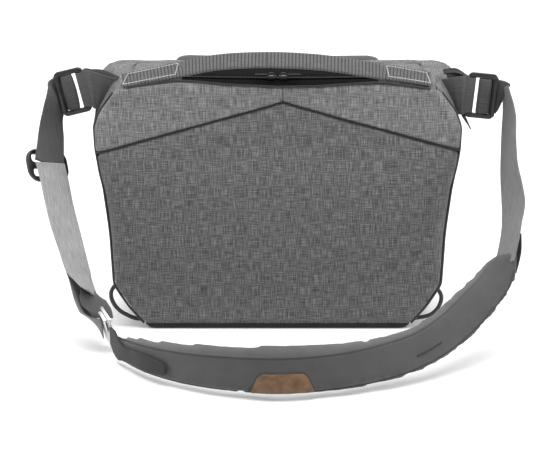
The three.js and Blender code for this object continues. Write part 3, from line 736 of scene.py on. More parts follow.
def gusset(name, side, node_name):
    v, u = steps(250, 3.5), steps(100, 3.0)
    vv, uu = np.meshgrid(v, u, indexing="ij")
    rear = 52.0
    y_guess = -40 + uu * (rear + 40)
    top = top_z(side * 160, y_guess) - 0.3
    z = BASE_Z + vv * (top - BASE_Z)
    r = corner(z)
    s_seam = seam_arc(z)
    s_rear = half_width(z) - r + r * np.pi / 2 + rear - front_y(z) - r
    grid = front_arc(s_seam + uu * (s_rear - s_seam), z)
    y = grid[..., 1]
    grid[..., 0] = side * (grid[..., 0] + side_x(z, y) - half_width(z))
    g0, g1, low, high = edge_gaps(grid)
    height = wrinkled(grid, 1.6, 11 + side, 60)
    belly = 3.0 * np.exp(-((z - 160) / 45) ** 2) * np.sin(np.pi * uu) ** 0.6
    height += belly + 0.8 * np.sin(z / 17 + y / 30) * np.sin(np.pi * uu)
    height -= tuck(g0, 1.4, 2.2) + tuck(g1, 1.8, 2.2) + tuck(low, 1.2, 2) + tuck(high, 2.2, 2.6)
    obj = grid_mesh(name, push(grid, height, side < 0), np.stack([y, z], -1), flip=side < 0)
    return place(thicken(obj, 1.6), SHELL, "bag", [node_name])


def back_arc(s, z):
    w, b, r = rear_width(z), back_y(z), BACK_CORNER
    flat = w - r
    turn = np.clip((np.abs(s) - flat) / r, 0, np.pi / 2)
    x = np.minimum(np.abs(s), flat) + r * np.sin(turn)
    return np.stack([np.sign(s) * x, b - r * (1 - np.cos(turn)), z + 0 * s], -1)


def back_panel():
    u, v = 2 * steps(360, 4) - 1, steps(248, 4)
    vv, uu = np.meshgrid(v, u, indexing="ij")
    z = BASE_Z + vv * (252.4 - BASE_Z)
    s = uu * (rear_width(z) - BACK_CORNER + BACK_CORNER * np.pi / 2)
    grid = back_arc(s, z)
    g0, g1, low, high = edge_gaps(grid)
    height = wrinkled(grid, 0.6, 17) - tuck(low, 1.5, 2) - tuck(high, 2.4, 2.4)
    height -= tuck(g0, 1.6, 2) + tuck(g1, 1.6, 2)
    obj = grid_mesh("back_panel_cloth", push(grid, height, True), np.stack([s, z], -1), flip=True)
    return place(thicken(obj, 1.6), SHELL, "bag", ["back_panel"])


front_panel()
yoke("yoke_left_cloth", -1, "front_yoke_left")
yoke("yoke_right_cloth", 1, "front_yoke_right")
gusset("gusset_left_cloth", -1, "side_gusset_left")
gusset("gusset_right_cloth", 1, "side_gusset_right")
back_panel()


# base: dark coated slab under the walls, its edge showing as a line
def base_panel():
    rings, uv = [], []
    for z, grow in [(0.2, -3.0), (0.0, -1.2), (0.6, 0.0), (3.4, 0.4), (4.6, -0.6), (5.0, -3.0)]:
        ring = rounded_rect(2 * (half_width(z) - 0.3 + grow), 127 + 2 * grow, 6, 5)
        rings.append([(x, y - 5.5, z) for x, y in ring])
        uv.append([(x + z, y + z) for x, y in ring])
    obj = grid_mesh("base_cloth_panel", np.array(rings), np.array(uv), closed=True, caps=True)
    return place(obj, BASE_CLOTH, "bag", ["base_panel"])


base_panel()


# ---------------------------------------------------------------- seams and piping
def seam_rope(name, points, radius, material, flat=1.0):
    obj = rope(name, points, radius, 160, 8, flat)
    return place(obj, material, "bag")


def chevron_seam():
    points = []
    for f in np.linspace(-0.995, 0.995, 61):
        s = f * seam_arc(180)
        z = chevron_z(s)
        p = front_arc(np.array(f * seam_arc(z)), np.array(z))
        points.append(p + np.array([0, 0.9 * (1 if abs(f) < 0.9 else 0.2), 0]))
    return seam_rope("chevron_seam", points, 1.15, SEAM, flat=0.6)


def side_piping(name, side):
    """Dark trim between the front and a gusset; it shows on the lower chamfer."""
    points = []
    for z in np.linspace(5, 236, 60):
        p = front_arc(np.array(side * seam_arc(z)), np.array(z))
        points.append(p + np.array([side * 0.35, 0.2, 0]))
    return seam_rope(name, points, 1.25, PIPING)


def top_front_seam():
    points = []
    for s in np.linspace(-0.93, 0.93, 70):
        p = front_arc(np.array(s * seam_arc(240)), np.array(240.0))
        z = top_z(p[0], p[1])
        p = front_arc(np.array(s * seam_arc(z)), np.array(z))
        points.append((p[0], p[1] - 0.3, z - 0.1))
    return seam_rope("top_front_seam", points, 1.1, PIPING)


chevron_seam()
side_piping("side_piping_left", -1)
side_piping("side_piping_right", 1)
top_front_seam()


# ---------------------------------------------------------------- top rim and lid
LID = (147.0, -21.7, 44.0)


def loop_points(half_x, y0, y1, radius, nx=70, ny=18, nc=6):
    """Points round a rounded rectangle, the same count on every side whatever its size."""
    radius = max(radius, 0.02)
    out = []
    sides = [((half_x - radius, y0), (-half_x + radius, y0), nx),
        ((-half_x, y0 + radius), (-half_x, y1 - radius), ny),
             ((-half_x + radius, y1), (half_x - radius, y1), nx),
             ((half_x, y1 - radius), (half_x, y0 + radius), ny)]
    centres = [(-half_x + radius, y0 + radius, 270), (-half_x + radius, y1 - radius, 180),
               (half_x - radius, y1 - radius, 90), (half_x - radius, y0 + radius, 360)]
    for (a, b, n), (cx, cy, start) in zip(sides, centres):
        for f in np.arange(n) / n:
            out.append((a[0] + (b[0] - a[0]) * f, a[1] + (b[1] - a[1]) * f))
        for f in np.arange(nc) / nc:
            angle = math.radians(start - 90 * f)
            out.append((cx + radius * math.cos(angle), cy + radius * math.sin(angle)))
    return np.array(out)


def top_rim():
    inner = loop_points(LID[0] + 0.6, LID[1] - 0.7, LID[2] + 0.7, 7)
    outer = loop_points(160, -46, 58, 8)
    w = side_x(top_plane(outer[:, 1]) + 1, outer[:, 1])
    outer[:, 0] = outer[:, 0] / 160 * w
    rows, uv = [], []
    blend = np.concatenate([[0, 0.04, 0.1, 0.18], np.linspace(0.28, 0.8, 5), [0.88, 0.95, 1]])
    for f in blend:
        xy = outer + (inner - outer) * f
        z = top_z(xy[:, 0], xy[:, 1])
        from_edge = np.linalg.norm(xy - outer, axis=1)
        from_hole = np.linalg.norm(xy - inner, axis=1)
        z = z - 2.6 * np.exp(-(from_edge / 2.2) ** 2) - 1.2 * np.exp(-(from_hole / 1.2) ** 2)
        wave = np.array([noise.noise(Vector((x / 19, y / 15, 4.2))) for x, y in xy])
        z = z + wave * 1.3 * np.clip(from_edge / 4, 0, 1) * np.clip(from_hole / 3, 0, 1)
        rows.append(np.column_stack([xy, z]))
        uv.append(xy)
    obj = grid_mesh("top_rim_cloth", np.array(rows), np.array(uv), closed=True, flip=True)
    return place(thicken(obj, 1.6), TOP_SHELL, "bag", ["top_rim"])


def inset_rings(half_x, y0, y1, radius, gaps):
    return [loop_points(half_x - g, y0 + g, y1 - g, max(radius - g, 0)) for g in gaps]


def lid_z(x, y):
    edge = np.minimum(LID[0] - np.abs(x), np.minimum(y - LID[1], LID[2] - y))
    rise = 2.2 * (1 - np.exp(-np.maximum(edge, 0) / 14))
    return top_z(x, y) + rise


def lid():
    gaps = [0, 0.6, 1.4, 2.4, 4, 6, 9, 12.5, 16, 20, 24, 28, 32.7]
    rows, uv = [], []
    for g, xy in zip(gaps, inset_rings(*LID, 7, gaps)):
        z = lid_z(xy[:, 0], xy[:, 1]) - 1.5 * math.exp(-(g / 1.6) ** 2)
        wave = np.array([noise.noise(Vector((x / 24, y / 18, 1.2))) for x, y in xy])
        z = z + wave * 1.1 * min(g / 6, 1)
        rows.append(np.column_stack([xy, z]))
        uv.append(xy)
    obj = grid_mesh("lid_cloth", np.array(rows), np.array(uv), closed=True, flip=True)
    weld = obj.modifiers.new("weld", "WELD")
    weld.merge_threshold = 0.0001
    settle(obj)
    return place(thicken(obj, 1.6), TOP_SHELL, "lid", ["lid_panel"])


def lid_lining():
    gaps = [0, 0.8, 2, 4, 8, 14, 20, 26, 30.7]
    rows, uv = [], []
    for g, xy in zip(gaps, inset_rings(LID[0] - 2, LID[1] + 2, LID[2] - 2, 6, gaps)):
        quilt = 0.9 * np.abs(np.sin(xy[:, 0] / 24)) * min(g / 6, 1)
        z = top_z(xy[:, 0], xy[:, 1]) - 3.0 - quilt + 0.9 * math.exp(-(g / 1.2) ** 2)
        rows.append(np.column_stack([xy, z]))
        uv.append(xy)
    obj = grid_mesh("lid_lining_cloth", np.array(rows), np.array(uv), closed=True)
    weld = obj.modifiers.new("weld", "WELD")
    weld.merge_threshold = 0.0001
    settle(obj)
    return place(thicken(obj, 0.8), LINING, "lid", ["lid_lining"])


top_rim()
lid()
lid_lining()


def strip(name, y0, y1, lift, half, material, body, nodes, x_mid=0, surface=top_z):
    """Flat strip lying on the top surface along x: zip tape, and the painted shadow sheets under the
    handle.
    """
    xs, ys = np.linspace(-half, half, 90) + x_mid, steps(y1 - y0, 3, (0.4, 1.0, 1.8))
    yy, xx = np.meshgrid(y0 + ys * (y1 - y0), xs, indexing="ij")
    edge = np.minimum(yy - y0, y1 - yy)
    z = surface(xx, yy) + lift - 0.5 * np.exp(-(edge / 0.6) ** 2)
    obj = grid_mesh(name, np.stack([xx, yy, z], -1), np.stack([xx, yy], -1))
    return place(thicken(obj, 0.9), material, body, nodes)


# painted shadow: the front tape is widened under the handle to cover the handle's shadow; the narrow
# strips along the zip are the real tape
strip("zip_tape_front_with_painted_shadow", -45.0, -22.6, 0.9, 95, TAPE_AND_SHADE, "bag", ["zip_tape_front"],
    x_mid=5)
strip("zip_tape_front_side", -31.0, -22.6, 0.8, 146, TAPE_AND_SHADE, "bag", [])
strip("zip_tape_lid_cloth", -21.3, -12.5, 1.3, 146, TAPE_AND_SHADE, "lid", ["zip_tape_lid"],
    surface=lid_z)


# painted shadow: a dark sheet on the lid under the handle, standing in for the handle's shadow
strip("painted_shadow_lid_sheet", -12.9, 16, 1.3, 100, TAPE_AND_SHADE, "lid", [], x_mid=5, surface=lid_z)


def zip_coil(name, y, lean, body, node_name):
    """Row of moulded teeth along the front of the lid."""
    verts, faces = [], []
    ring = [(-0.42, 0), (-0.3, 0.55), (0, 0.75), (0.3, 0.55), (0.42, 0)]
    for x in np.arange(-145, 145.1, 1.35):
        z = float(top_z(x, y)) + 1.7
        base = len(verts)
        for yy, fat in [(-1.2, 0.8), (-0.5, 1.0), (0.7, 1.15), (1.2, 0.7)]:
            for dx, dz in ring:
                verts.append((x + dx * fat, y + lean * yy, z + dz * fat + 0.35))
            verts.append((x, y + lean * yy, z - 0.1))
        for i in range(3):
            for j in range(6):
                k = (j + 1) % 6
                quad = (base + i * 6 + j, base + i * 6 + k, base + i * 6 + 6 + k,
                    base + i * 6 + 6 + j)
                faces.append(quad[::-1] if lean > 0 else quad)
        for i, turn in [(0, 1), (3, -1)]:
            cap = tuple(base + i * 6 + j for j in range(6))[::turn]
            faces.append(cap[::-1] if lean < 0 else cap)
    obj = make(name, verts, faces, np.array(verts)[:, :2], smooth=False)
    return place(obj, TOOTH, body, [node_name])


zip_coil("zip_teeth_front", -23.5, 1, "bag", "zip_chain_front")
zip_coil("zip_teeth_lid", -20.4, -1, "lid", "zip_chain_lid")

# ---------------------------------------------------------------- zip sliders and pulls
for name, side in [("left", -1), ("right", 1)]:
    lo, hi = [np.array(c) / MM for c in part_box(f"zip_slider_{name}")]
    body = block(f"slider_top_{name}", (lo[0], lo[1] + 0.4, lo[2] + 1.2),
        (hi[0], hi[1], lo[2] + 3.4), 0.9)
    skirt = block(f"slider_skirt_{name}", (lo[0] + 0.3, lo[1], lo[2] - 0.4),
        (hi[0] - 0.3, lo[1] + 2.4, lo[2] + 2.6), 0.6)
    middle = (lo[0] + hi[0]) / 2
    bridge = rope(f"slider_bridge_{name}",
        [(middle - 3.0, lo[1] + 3.1, lo[2] + 3.0), (middle - 2.4, lo[1] + 3.1, lo[2] + 5.1),
                  (middle, lo[1] + 3.1, lo[2] + 5.8), (middle + 2.4, lo[1] + 3.1, lo[2] + 5.1),
                  (middle + 3.0, lo[1] + 3.1, lo[2] + 3.0)], 0.75, 22, 8, 1.4)
    place(join(f"zip_slider_{name}_body", [body, skirt, bridge]), BLACK,
        f"slider_{name}", [f"zip_slider_{name}"])
    lo, hi = [np.array(c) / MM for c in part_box(f"zip_pull_{name}")]
    mid_y, mid_z = (lo[1] + hi[1]) / 2, (lo[2] + hi[2]) / 2
    x0, x1 = (hi[0], lo[0]) if side < 0 else (lo[0], hi[0])
    stops = [((x0, mid_y, mid_z), (0, 1, 0), 3.2, 1.3),
        ((x0 + side * 3, mid_y, mid_z), (0, 1, 0), 4.2, 1.3),
             ((x0 + side * 7, mid_y, mid_z), (0, 1, 0), 4.9, 1.4),
             ((x1, mid_y, mid_z), (0, 1, 0), 4.4, 1.4)]
    pull = ribbon(f"zip_pull_{name}_tab", stops, 26, rib=0.35, rib_pitch=1.4)
    place(pull, TAB_BLACK, f"pull_{name}", [f"zip_pull_{name}"])

# ---------------------------------------------------------------- grab handle
HANDLE_ACROSS = (0, 0.78, 0.62)
HANDLE_WIDTH, HANDLE_THICK = 20.5, 3.0
handle_line = [(-94, -37.5, 259), (-60, -41, 266), (-10, -44, 269), (45, -43, 266),
    (104, -37.5, 256)]
for name, span in [("left", (0, 0.5)), ("right", (0.5, 1))]:
    middle = spline(handle_line, np.linspace(*span, 13))
    stops = [(tuple(m), HANDLE_ACROSS, HANDLE_WIDTH, HANDLE_THICK) for m in middle]
    grip = ribbon(f"grab_handle_{name}", stops, 260, rib=0.6, rib_pitch=RIB_PITCH)
    ends = [(-95, -37, 258), (-72, -37, 258)] if name == "left" else [(105, -37, 257),
        (82, -37, 257)]
    place(grip, RIB_WEB, ("bag", "handle"), ["grab_handle"], blend=ends)

PATCH = {
    "left": [(-94.5, -37.6, 259.0), (-110, -38.2, 256.0), (-130, -38.8, 252.0),
    (-154, -39.4, 247.2)],
    "right": [(104.5, -37.6, 256.2), (118, -37.8, 254.4), (134, -38.0, 251.8), (152, -38.2, 248.6)],
}


def along_patch(name, f, a, lift):
    """Point on a handle end: f along it from 0 to 1, a across it from -1 to 1."""
    line = PATCH[name]
    p = spline(line, [f])[0]
    across = unit(HANDLE_ACROSS)
    half = 9.6 - 1.2 * f
    normal = np.array([0, -across[2], across[1]])
    return p + across * a * half + normal * lift, normal


for name, side in [("left", -1), ("right", 1)]:
    stops = [(p, HANDLE_ACROSS, 20.2 - 2 * i / 3, 3.0) for i, p in enumerate(PATCH[name])]
    band = ribbon(f"handle_end_{name}", stops, 130, rib=0.4, rib_pitch=RIB_PITCH)
    place(band, RIB_WEB, "bag", [f"handle_patch_{name}"])
    rows, uv = [], []
    for f in np.linspace(0, 1, 24):
        p = spline(PATCH[name], [f])[0]
        g = float(top_z(p[0], -46))
        across = unit(HANDLE_ACROSS)
        low, high = p - across * 9.4, p + across * 9.4
        sink = 3.4 if 0.02 < f < 0.98 else 4.2
        ring = [(p[0], low[1] + 0.5, low[2] - sink * 0.6), (p[0], p[1] + 0.6, p[2] - sink * 0.8),
            (p[0], high[1] - 0.4, high[2] - sink * 0.4),
                (p[0], high[1] + 1.4, high[2] - sink - 0.6),
                (p[0], high[1] + 4.5, (high[2] + g) / 2), (p[0], high[1] + 6.8, g + 2.0),
                (p[0], -34, g - 1), (p[0], -43.6, g - 1.5), (p[0], -45.6, g + 1.0),
                (p[0], -45.9, (low[2] + g) / 2)]
        rows.append(ring)
        uv.append([(p[0], q[1] + q[2]) for q in ring])
    wedge = grid_mesh(f"handle_base_{name}", np.array(rows), np.array(uv), closed=True, caps=True,
        flip=side > 0)
    sub = wedge.modifiers.new("soft", "SUBSURF")
    sub.levels = 1
    settle(wedge)
    place(wedge, TOP_SHELL, "bag")
    frame_line = [(0.09, 0.74), (0.93, 0.74), (0.99, -0.74), (0.15, -0.74), (0.09, 0.74)]
    pts, nrm = [], []
    for (f0, a0), (f1, a1) in zip(frame_line, frame_line[1:]):
        for k in np.linspace(0, 1, 14)[:-1]:
            p, n = along_patch(name, f0 + (f1 - f0) * k, a0 + (a1 - a0) * k, 1.75)
            pts.append(p)
            nrm.append(n)
    place(stitches(f"handle_stitch_{name}", pts, nrm, 2.6, 2.3, 0.5), THREAD,
        "bag")

# ---------------------------------------------------------------- corner loops
LOOP_Y, LOOP_RADIUS = -62, 2.1
LOOPS = {
    "left": [(-160, 45), (-164.5, 41.5), (-167.4, 36), (-167.2, 29), (-164, 22), (-158.5, 16),
    (-151, 11.5),
             (-144, 8.5), (-136.5, 7.5)],
    "right": [(158, 41.5), (162, 38), (165, 32), (164.6, 25.5), (161, 18), (155, 12.5), (148, 10),
    (141.5, 9),
              (135, 7.5)],
}
for name, line in LOOPS.items():
    loop = rope(f"corner_loop_{name}_cord", [(x, LOOP_Y, z) for x, z in line], LOOP_RADIUS, 70, 12)
    place(loop, PIPING, "bag", [f"corner_loop_{name}"])

# ---------------------------------------------------------------- strap hardware
LOCKS = {"left": ((-206, -15, 232), -0.24), "right": ((205, -15, 228), 0.10)}


def lock_matrix(at, lean):
    m = Matrix.Rotation(lean, 4, "Y")
    m.translation = Vector(at) * MM
    return m


def lock_point(name, out, up, forward=0.0):
    at, lean = LOCKS[name]
    side = math.copysign(1, at[0])
    local = np.array([side * out * math.cos(lean) + up * math.sin(lean), forward,
                      -side * out * math.sin(lean) + up * math.cos(lean)])
    return np.array(at) + local


for name, (at, lean) in LOCKS.items():
    side = math.copysign(1, at[0])
    rim = rounded_rect(30, 46, 5)
    slots = [[(x + cx, z) for x, z in rounded_rect(7.5, 36, 1.6)[::-1]] for cx in (-6.25, 6.25)]
    lock = plate(f"ladder_lock_{name}_frame", [rim, *slots], 4.5, 1.1, lock_matrix(at, lean))
    lip = block(f"lock_lip_{name}", (-2.2, -3.6, -20), (2.2, 1.2, 20), 1.2,
                lock_matrix(at, lean) @ Matrix.Translation((side * 13.2 * MM, 0, 0)))
    place(join(f"ladder_lock_{name}_frame", [lock, lip]), BLACK, "strap",
        [f"ladder_lock_{name}"])

# ---------------------------------------------------------------- carrying strap
WEB_W, WEB_T = 38, 1.8


def lock_weave(name):
    """Strap end woven through a ladder-lock: tail behind, over the middle bar, out behind."""
    lean = LOCKS[name][1]
    down = (-math.sin(lean), 0, -math.cos(lean))
    path = [(12, 5.6), (3, 5.0), (-1, 3.8), (-3.2, 0), (-1.5, -3.1), (2.5, -3.7), (7, -3.1),
        (8.8, 0), (11, 3.2),
            (15, 3.4)]
    return [(tuple(lock_point(name, out, 0, forward)), down, 35, 1.5) for out, forward in path]


def web(at, across, width=WEB_W, thick=WEB_T):
    return at, across, width, thick


upper_left = [
    *lock_weave("left"), ((-222.5, -17, 222), (0.45, 0.75, -0.5), 35, 1.7),
    web((-226, -21, 207), (0.5, 0.8, -0.3), 35), web((-226.6, -28, 192.3), (0.59, 0.71, -0.38), 37),
    web((-226.9, -38, 177), (0.63, 0.63, -0.46)),
    web((-227.6, -47, 163.6), (0.68, 0.57, -0.47)),
]
place(ribbon("strap_upper_left_web", upper_left, 150, curl=-1.2), STRAP_DARK,
    "strap",
      ["strap_upper_left"])

ring_at = np.array((-228.0, -45.0, 163.0))
adj_at, adj_along, adj_across = (-162.5, -146, 24), (0.45, -0.8, -0.4), (-0.15, -0.5, 0.85)
lower_left = [
    web((-227.3, -47, 165.6), (0.69, 0.69, -0.21)), web((-222.1, -57, 149.4), (0.68, 0.7, -0.23)),
    web((-216.9, -69, 129.8), (0.67, 0.7, -0.25)), web((-210.6, -82, 110), (0.68, 0.7, -0.23)),
    web((-202.3, -97, 87.9), (0.62, 0.74, -0.26)), web((-195.7, -108, 70.5), (0.54, 0.8, -0.2)),
    web((-191, -113, 62.5), (0.41, 0.86, -0.31)), web((-184.9, -119, 54.7), (0.29, 0.87, -0.4)),
    web((-181, -122, 51), (0.17, 0.86, -0.49)),
]
place(ribbon("strap_lower_left_web", lower_left, 110, curl=0.3), LIGHT_WEB,
    "strap",
      ["strap_lower_left"])
under_fold = [
    web((-188, -118, 56), (0.3, 0.9, -0.3), 26, 1.5),
    web((-184.5, -121, 50), (0.5, 0.82, -0.25), 30, 1.5),
    web((-179, -127, 43.5), (0.6, 0.78, -0.05), 34, 1.5),
    web((-172.5, -132, 37), (0.55, 0.8, -0.1), 32, 1.5),
    web((-170, -136, 31), (0.4, 0.8, 0.1), 30, 1.5),
]
place(ribbon("strap_under_fold", under_fold, 70), STRAP_DARK, "strap")
tail = [
    web((-207.5, -106, 77), (0.22, 0.87, -0.44), 20, 1.5),
    web((-199.1, -116, 61.5), (0.33, 0.86, -0.39), 22, 1.5),
    web((-191.7, -126, 46.1), (0.43, 0.85, -0.32), 26, 1.5),
    web((-184.4, -134, 34), (0.42, 0.82, -0.38), 31, 1.5),
    web((-176.5, -142, 27), (0.3, 0.68, -0.66), 33, 1.5),
    web((-169.5, -147, 23), (0.15, 0.51, -0.85), 33, 1.5),
]
place(ribbon("strap_tail_web", tail, 80), TAIL_WEB, "strap")

ring_matrix = placed(ring_at + np.array((-2.6, 3.4, -1.2)), (0.2, -0.42, -0.88), (0.74, 0.6, -0.3))
ring = plate("ring_slider_frame", [rounded_rect(34, 50, 13, 8),
             *[[(x + cx, z) for x, z in rounded_rect(8, 38, 3)[::-1]] for cx in (-7.5, 7.5)]], 4.6,
             1.6, ring_matrix)
place(ring, BLACK, "strap", ["ring_slider"])

adj_matrix = placed(adj_at, adj_along, adj_across)
adj = plate("adjuster_frame_plate", [rounded_rect(24, 42, 3.4),
            *[[(x + cx, z) for x, z in rounded_rect(wide, 35, 1.4)[::-1]] for cx,
            wide in ((-5, 8), (6, 6))]], 3, 0.7, adj_matrix)
place(adj, ALUMINIUM, "strap", ["adjuster_frame"])
lever = plate("adjuster_lever_plate", [[(x - 0.5, z) for x, z in rounded_rect(17, 38, 2.6)]], 3.3,
    0.8,
              adj_matrix @ Matrix.Translation((0, -3.55 * MM, 0)))
place(lever, ALUMINIUM, "adjuster", ["adjuster_lever"])

# ---------------------------------------------------------------- shoulder pad
PAD_STOPS = [
    web((-151.5, -172, 15.5), (-0.02, 0.1, 1), 26, 4),
    web((-147, -180, 16.2), (-0.03, 0.1, 1), 28, 5),
    web((-136, -200, 18.3), (-0.03, 0.12, 1), 33, 8),
    web((-116, -228, 20.5), (0, 0.14, 1), 37.5, 11),
    web((-85, -256, 22.8), (0, 0.15, 1), 41.5, 13), web((-45, -277, 24.7), (0, 0.15, 1), 45, 13),
    web((0, -286, 25.6), (0, 0.15, 1), 46.5, 13), web((46, -276, 25.6), (-0.05, 0.18, 1), 46.5, 13),
    web((91, -255.5, 26.7), (-0.25, 0.32, 0.9), 46.5, 13),
    web((129, -231, 31.2), (-0.49, 0.37, 0.79), 44.5, 13),
    web((159.4, -203, 41), (-0.66, 0.39, 0.64), 44.5, 13),
    web((184.1, -176, 54.6), (-0.79, 0.48, 0.38), 44.5, 12),
    web((204.6, -150, 67.5), (-0.83, 0.55, 0.06), 43.5, 11),
    web((216.5, -130, 80.5), (-0.71, 0.63, -0.32), 41, 9),
    web((222.9, -118, 90.4), (-0.42, 0.7, -0.58), 37, 6),
]
PAD_COUNT = 160


def puff(obj, voxel, pressure, cap, level=1):
    """Voxel remesh, a short pressurised cloth simulation with capped travel, then subdivision."""
    remesh = obj.modifiers.new("remesh", "REMESH")
    remesh.mode = "VOXEL"
    remesh.voxel_size = voxel * MM
    even = obj.modifiers.new("even", "SMOOTH")
    even.factor = 0.5
    even.iterations = 8
    settle(obj)
    start = np.array([v.co for v in obj.data.vertices])
    cloth = obj.modifiers.new("cloth", "CLOTH")
    cloth.settings.quality = 6
    cloth.settings.mass = 0.3
    cloth.settings.tension_stiffness = 20
    cloth.settings.compression_stiffness = 20
    cloth.settings.bending_stiffness = 1.5
    cloth.settings.use_pressure = True
    cloth.settings.uniform_pressure_force = pressure
    cloth.settings.effector_weights.gravity = 0
    cloth.point_cache.frame_start = 1
    cloth.point_cache.frame_end = 20
    scene = bpy.context.scene
    for number in range(1, 21):
        scene.frame_set(number)
    shape = obj.evaluated_get(bpy.context.evaluated_depsgraph_get()).to_mesh()
    end = np.array([v.co for v in shape.vertices])
    move = end - start
    far = np.linalg.norm(move, axis=1, keepdims=True)
    move *= np.minimum(1, cap * MM / np.maximum(far, 1e-9))
    obj.modifiers.clear()
    scene.frame_set(1)
    for vertex, position in zip(obj.data.vertices, start + move):
        vertex.co = position
    soft = obj.modifiers.new("soft", "SUBSURF")
    soft.levels = level
    settle(obj)
    obj.data.polygons.foreach_set("use_smooth", [True] * len(obj.data.polygons))
    return obj


def set_uv(obj, uv_mm):
    """Writes one uv pair in millimetres per vertex."""
    mesh = obj.data
    layer = mesh.uv_layers.get("UVMap") or mesh.uv_layers.new(name="UVMap")
    corner_index = np.empty(len(mesh.loops), dtype=np.int32)
    mesh.loops.foreach_get("vertex_index", corner_index)
    layer.data.foreach_set("uv", (uv_mm[corner_index] * MM).ravel().astype(np.float32))


def strap_pad():
    middle, across, normal, width, thick, far = route(PAD_STOPS, PAD_COUNT)
    angle = np.linspace(0, 2 * np.pi, 28, endpoint=False)
    a = np.sign(np.cos(angle)) * np.abs(np.cos(angle)) ** 0.45
    b = np.sign(np.sin(angle)) * np.abs(np.sin(angle)) ** 0.6
    swell = 0.8
    grid = (middle[:, None] + across[:, None] * (a[None, :, None] * (width / 2)[:, None, None])
            + normal[:, None] * (b[None, :, None] * (thick / 2 * swell)[:, None, None]))
    obj = grid_mesh("strap_pad_cloth", grid, grid[..., :2], closed=True, caps=True)
    puff(obj, 4.0, 4.0, 5.0, 2)
    mesh = obj.data
    co = np.array([v.co for v in mesh.vertices]) / MM
    k = np.concatenate([((part[:, None] - middle[None]) ** 2).sum(2).argmin(1)
                        for part in np.array_split(co, 40)])
    offset = co - middle[k]
    height = ((offset * across[k]).sum(1) / width[k] + 0.5) * PAD_WIDTH
    out = (offset * normal[k]).sum(1)
    face = np.clip(np.abs(out) / (thick[k] / 2) * 1.4, 0, 1)
    ends = np.clip(np.minimum(far[k], far[-1] - far[k]) / 20, 0, 1)
    seam = height - (PAD_WIDTH - BAND)
    depth = 1.5 * np.exp(-(seam / 1.3) ** 2) + 1.1 * np.exp(-((height - 4.2) / 1.2) ** 2)
    depth -= 0.9 * np.exp(-((seam - 6) / 4) ** 2)
    co -= np.sign(out)[:, None] * normal[k] * (depth * face * ends)[:, None]
    wave = np.array([noise.noise(Vector(p / 40)) for p in co])
    co += normal[k] * (wave * 0.9)[:, None]
    co[:, 2] = np.maximum(co[:, 2], 0.8)
    mesh.vertices.foreach_set("co", (co * MM).ravel())
    along = unit(np.gradient(middle, axis=0))[k]
    arc = far[k] + (offset * along).sum(1)
    set_uv(obj, np.stack([arc, height + (out > 0) * 100], 1))
    place(obj, PAD_CLOTH, "strap", ["strap_pad"])
    return obj


pad = strap_pad()
pad_tree = BVHTree.FromObject(pad, bpy.context.evaluated_depsgraph_get())
pad_route = route(PAD_STOPS, PAD_COUNT)


def on_pad(arc, height, lift):
    """Point on the pad's outer face: arc along it, height above its lower edge, lift off it."""
    middle, across, normal, width, thick, far = pad_route
    at = [np.array([np.interp(arc, far, part[:, i]) for i in range(3)]) for part in (middle, across,
        normal)]
    reach = np.interp(arc, far, thick) / 2 + 12
    start = at[0] + at[1] * (height / PAD_WIDTH - 0.5) * np.interp(arc, far,
        width) - at[2] * reach * OUTER
    point, n, _, _ = pad_tree.ray_cast(Vector(start) * MM, Vector(at[2] * OUTER))
    if point is None:
        point, n, _, _ = pad_tree.find_nearest(Vector(start) * MM)
    return np.array(point) / MM + np.array(n) * lift, np.array(n)


OUTER = 1 if pad_route[2][60][1] > 0 else -1
pad_length = pad_route[5][-1]
pad_middle = float(np.interp(0, pad_route[0][:, 0], pad_route[5]))


def pad_line(name, height, start, end, radius, material, lift=0.0, count=120):
    points = [on_pad(arc, height, lift)[0] for arc in np.linspace(start, end, count)]
    return place(rope(name, points, radius, count * 2, 8, 0.8), material, "strap")


pad_line("pad_lower_piping", 4.2, 14, pad_length - 22, 0.85, PIPING)
pad_line("pad_band_piping", PAD_WIDTH - BAND, 14, pad_length - 22, 0.5, PAD_SEAM, 0.1)
slit = float(np.interp(134, pad_route[0][:, 0], pad_route[5]))
pad_line("pad_slit", 15.5, slit - 15, slit + 15, 0.9, SEAM, -0.1, 30)

# painted shade: the strap's end woven through the right lock is the same webbing as the right strap,
# drawn in the darker strap cloth for the shade near the lock
right_shaded_end = [*lock_weave("right"),
    (tuple(lock_point("right", 19, 0, 2.6)), (-0.1, 0.1, -0.99), 35, 1.6),
              (tuple(lock_point("right", 23.5, -1, 3.5)), (-0.1, 0.3, -0.95), 33, 1.6)]
place(ribbon("strap_right_end_painted_shade", right_shaded_end, 120), STRAP_DARK, "strap")
right_web = [
    web((229, -17, 237), (-0.06, 0.95, -0.3), 30), web((231.5, -22, 220), (-0.19, 0.94, -0.29), 34),
    web((232, -30, 204), (-0.27, 0.9, -0.33), 37), web((230.8, -42, 184.5), (-0.29, 0.81, -0.52)),
    web((230.3, -58, 160), (-0.35, 0.76, -0.55)),
    web((232, -73, 141), (-0.46, 0.66, -0.59)), web((232.4, -86, 126.5), (-0.52, 0.65, -0.55)),
    web((229.3, -99, 111.7), (-0.44, 0.74, -0.51)),
    web((223.6, -115.4, 92.8), (-0.46, 0.71, -0.54)),
    web((217, -128, 82), (-0.6, 0.68, -0.35), 34),
]
place(ribbon("strap_right_web", right_web, 130), RIGHT_WEB, "strap",
    ["strap_right"])


# anchor tabs: webbing folded round the inner bar of each ladder-lock and sewn on the bag's corner
FANS = {
    "left": (((-160, -16.2, 243.5), (-187, -15.5, 194)),
    ((-158.5, -17.8, 244.5), (-179.5, -17.8, 212))),
    "right": (((169, -16.2, 251), (196, -15.5, 194)), ((165, -17.8, 245), (182, -17.8, 210))),
}


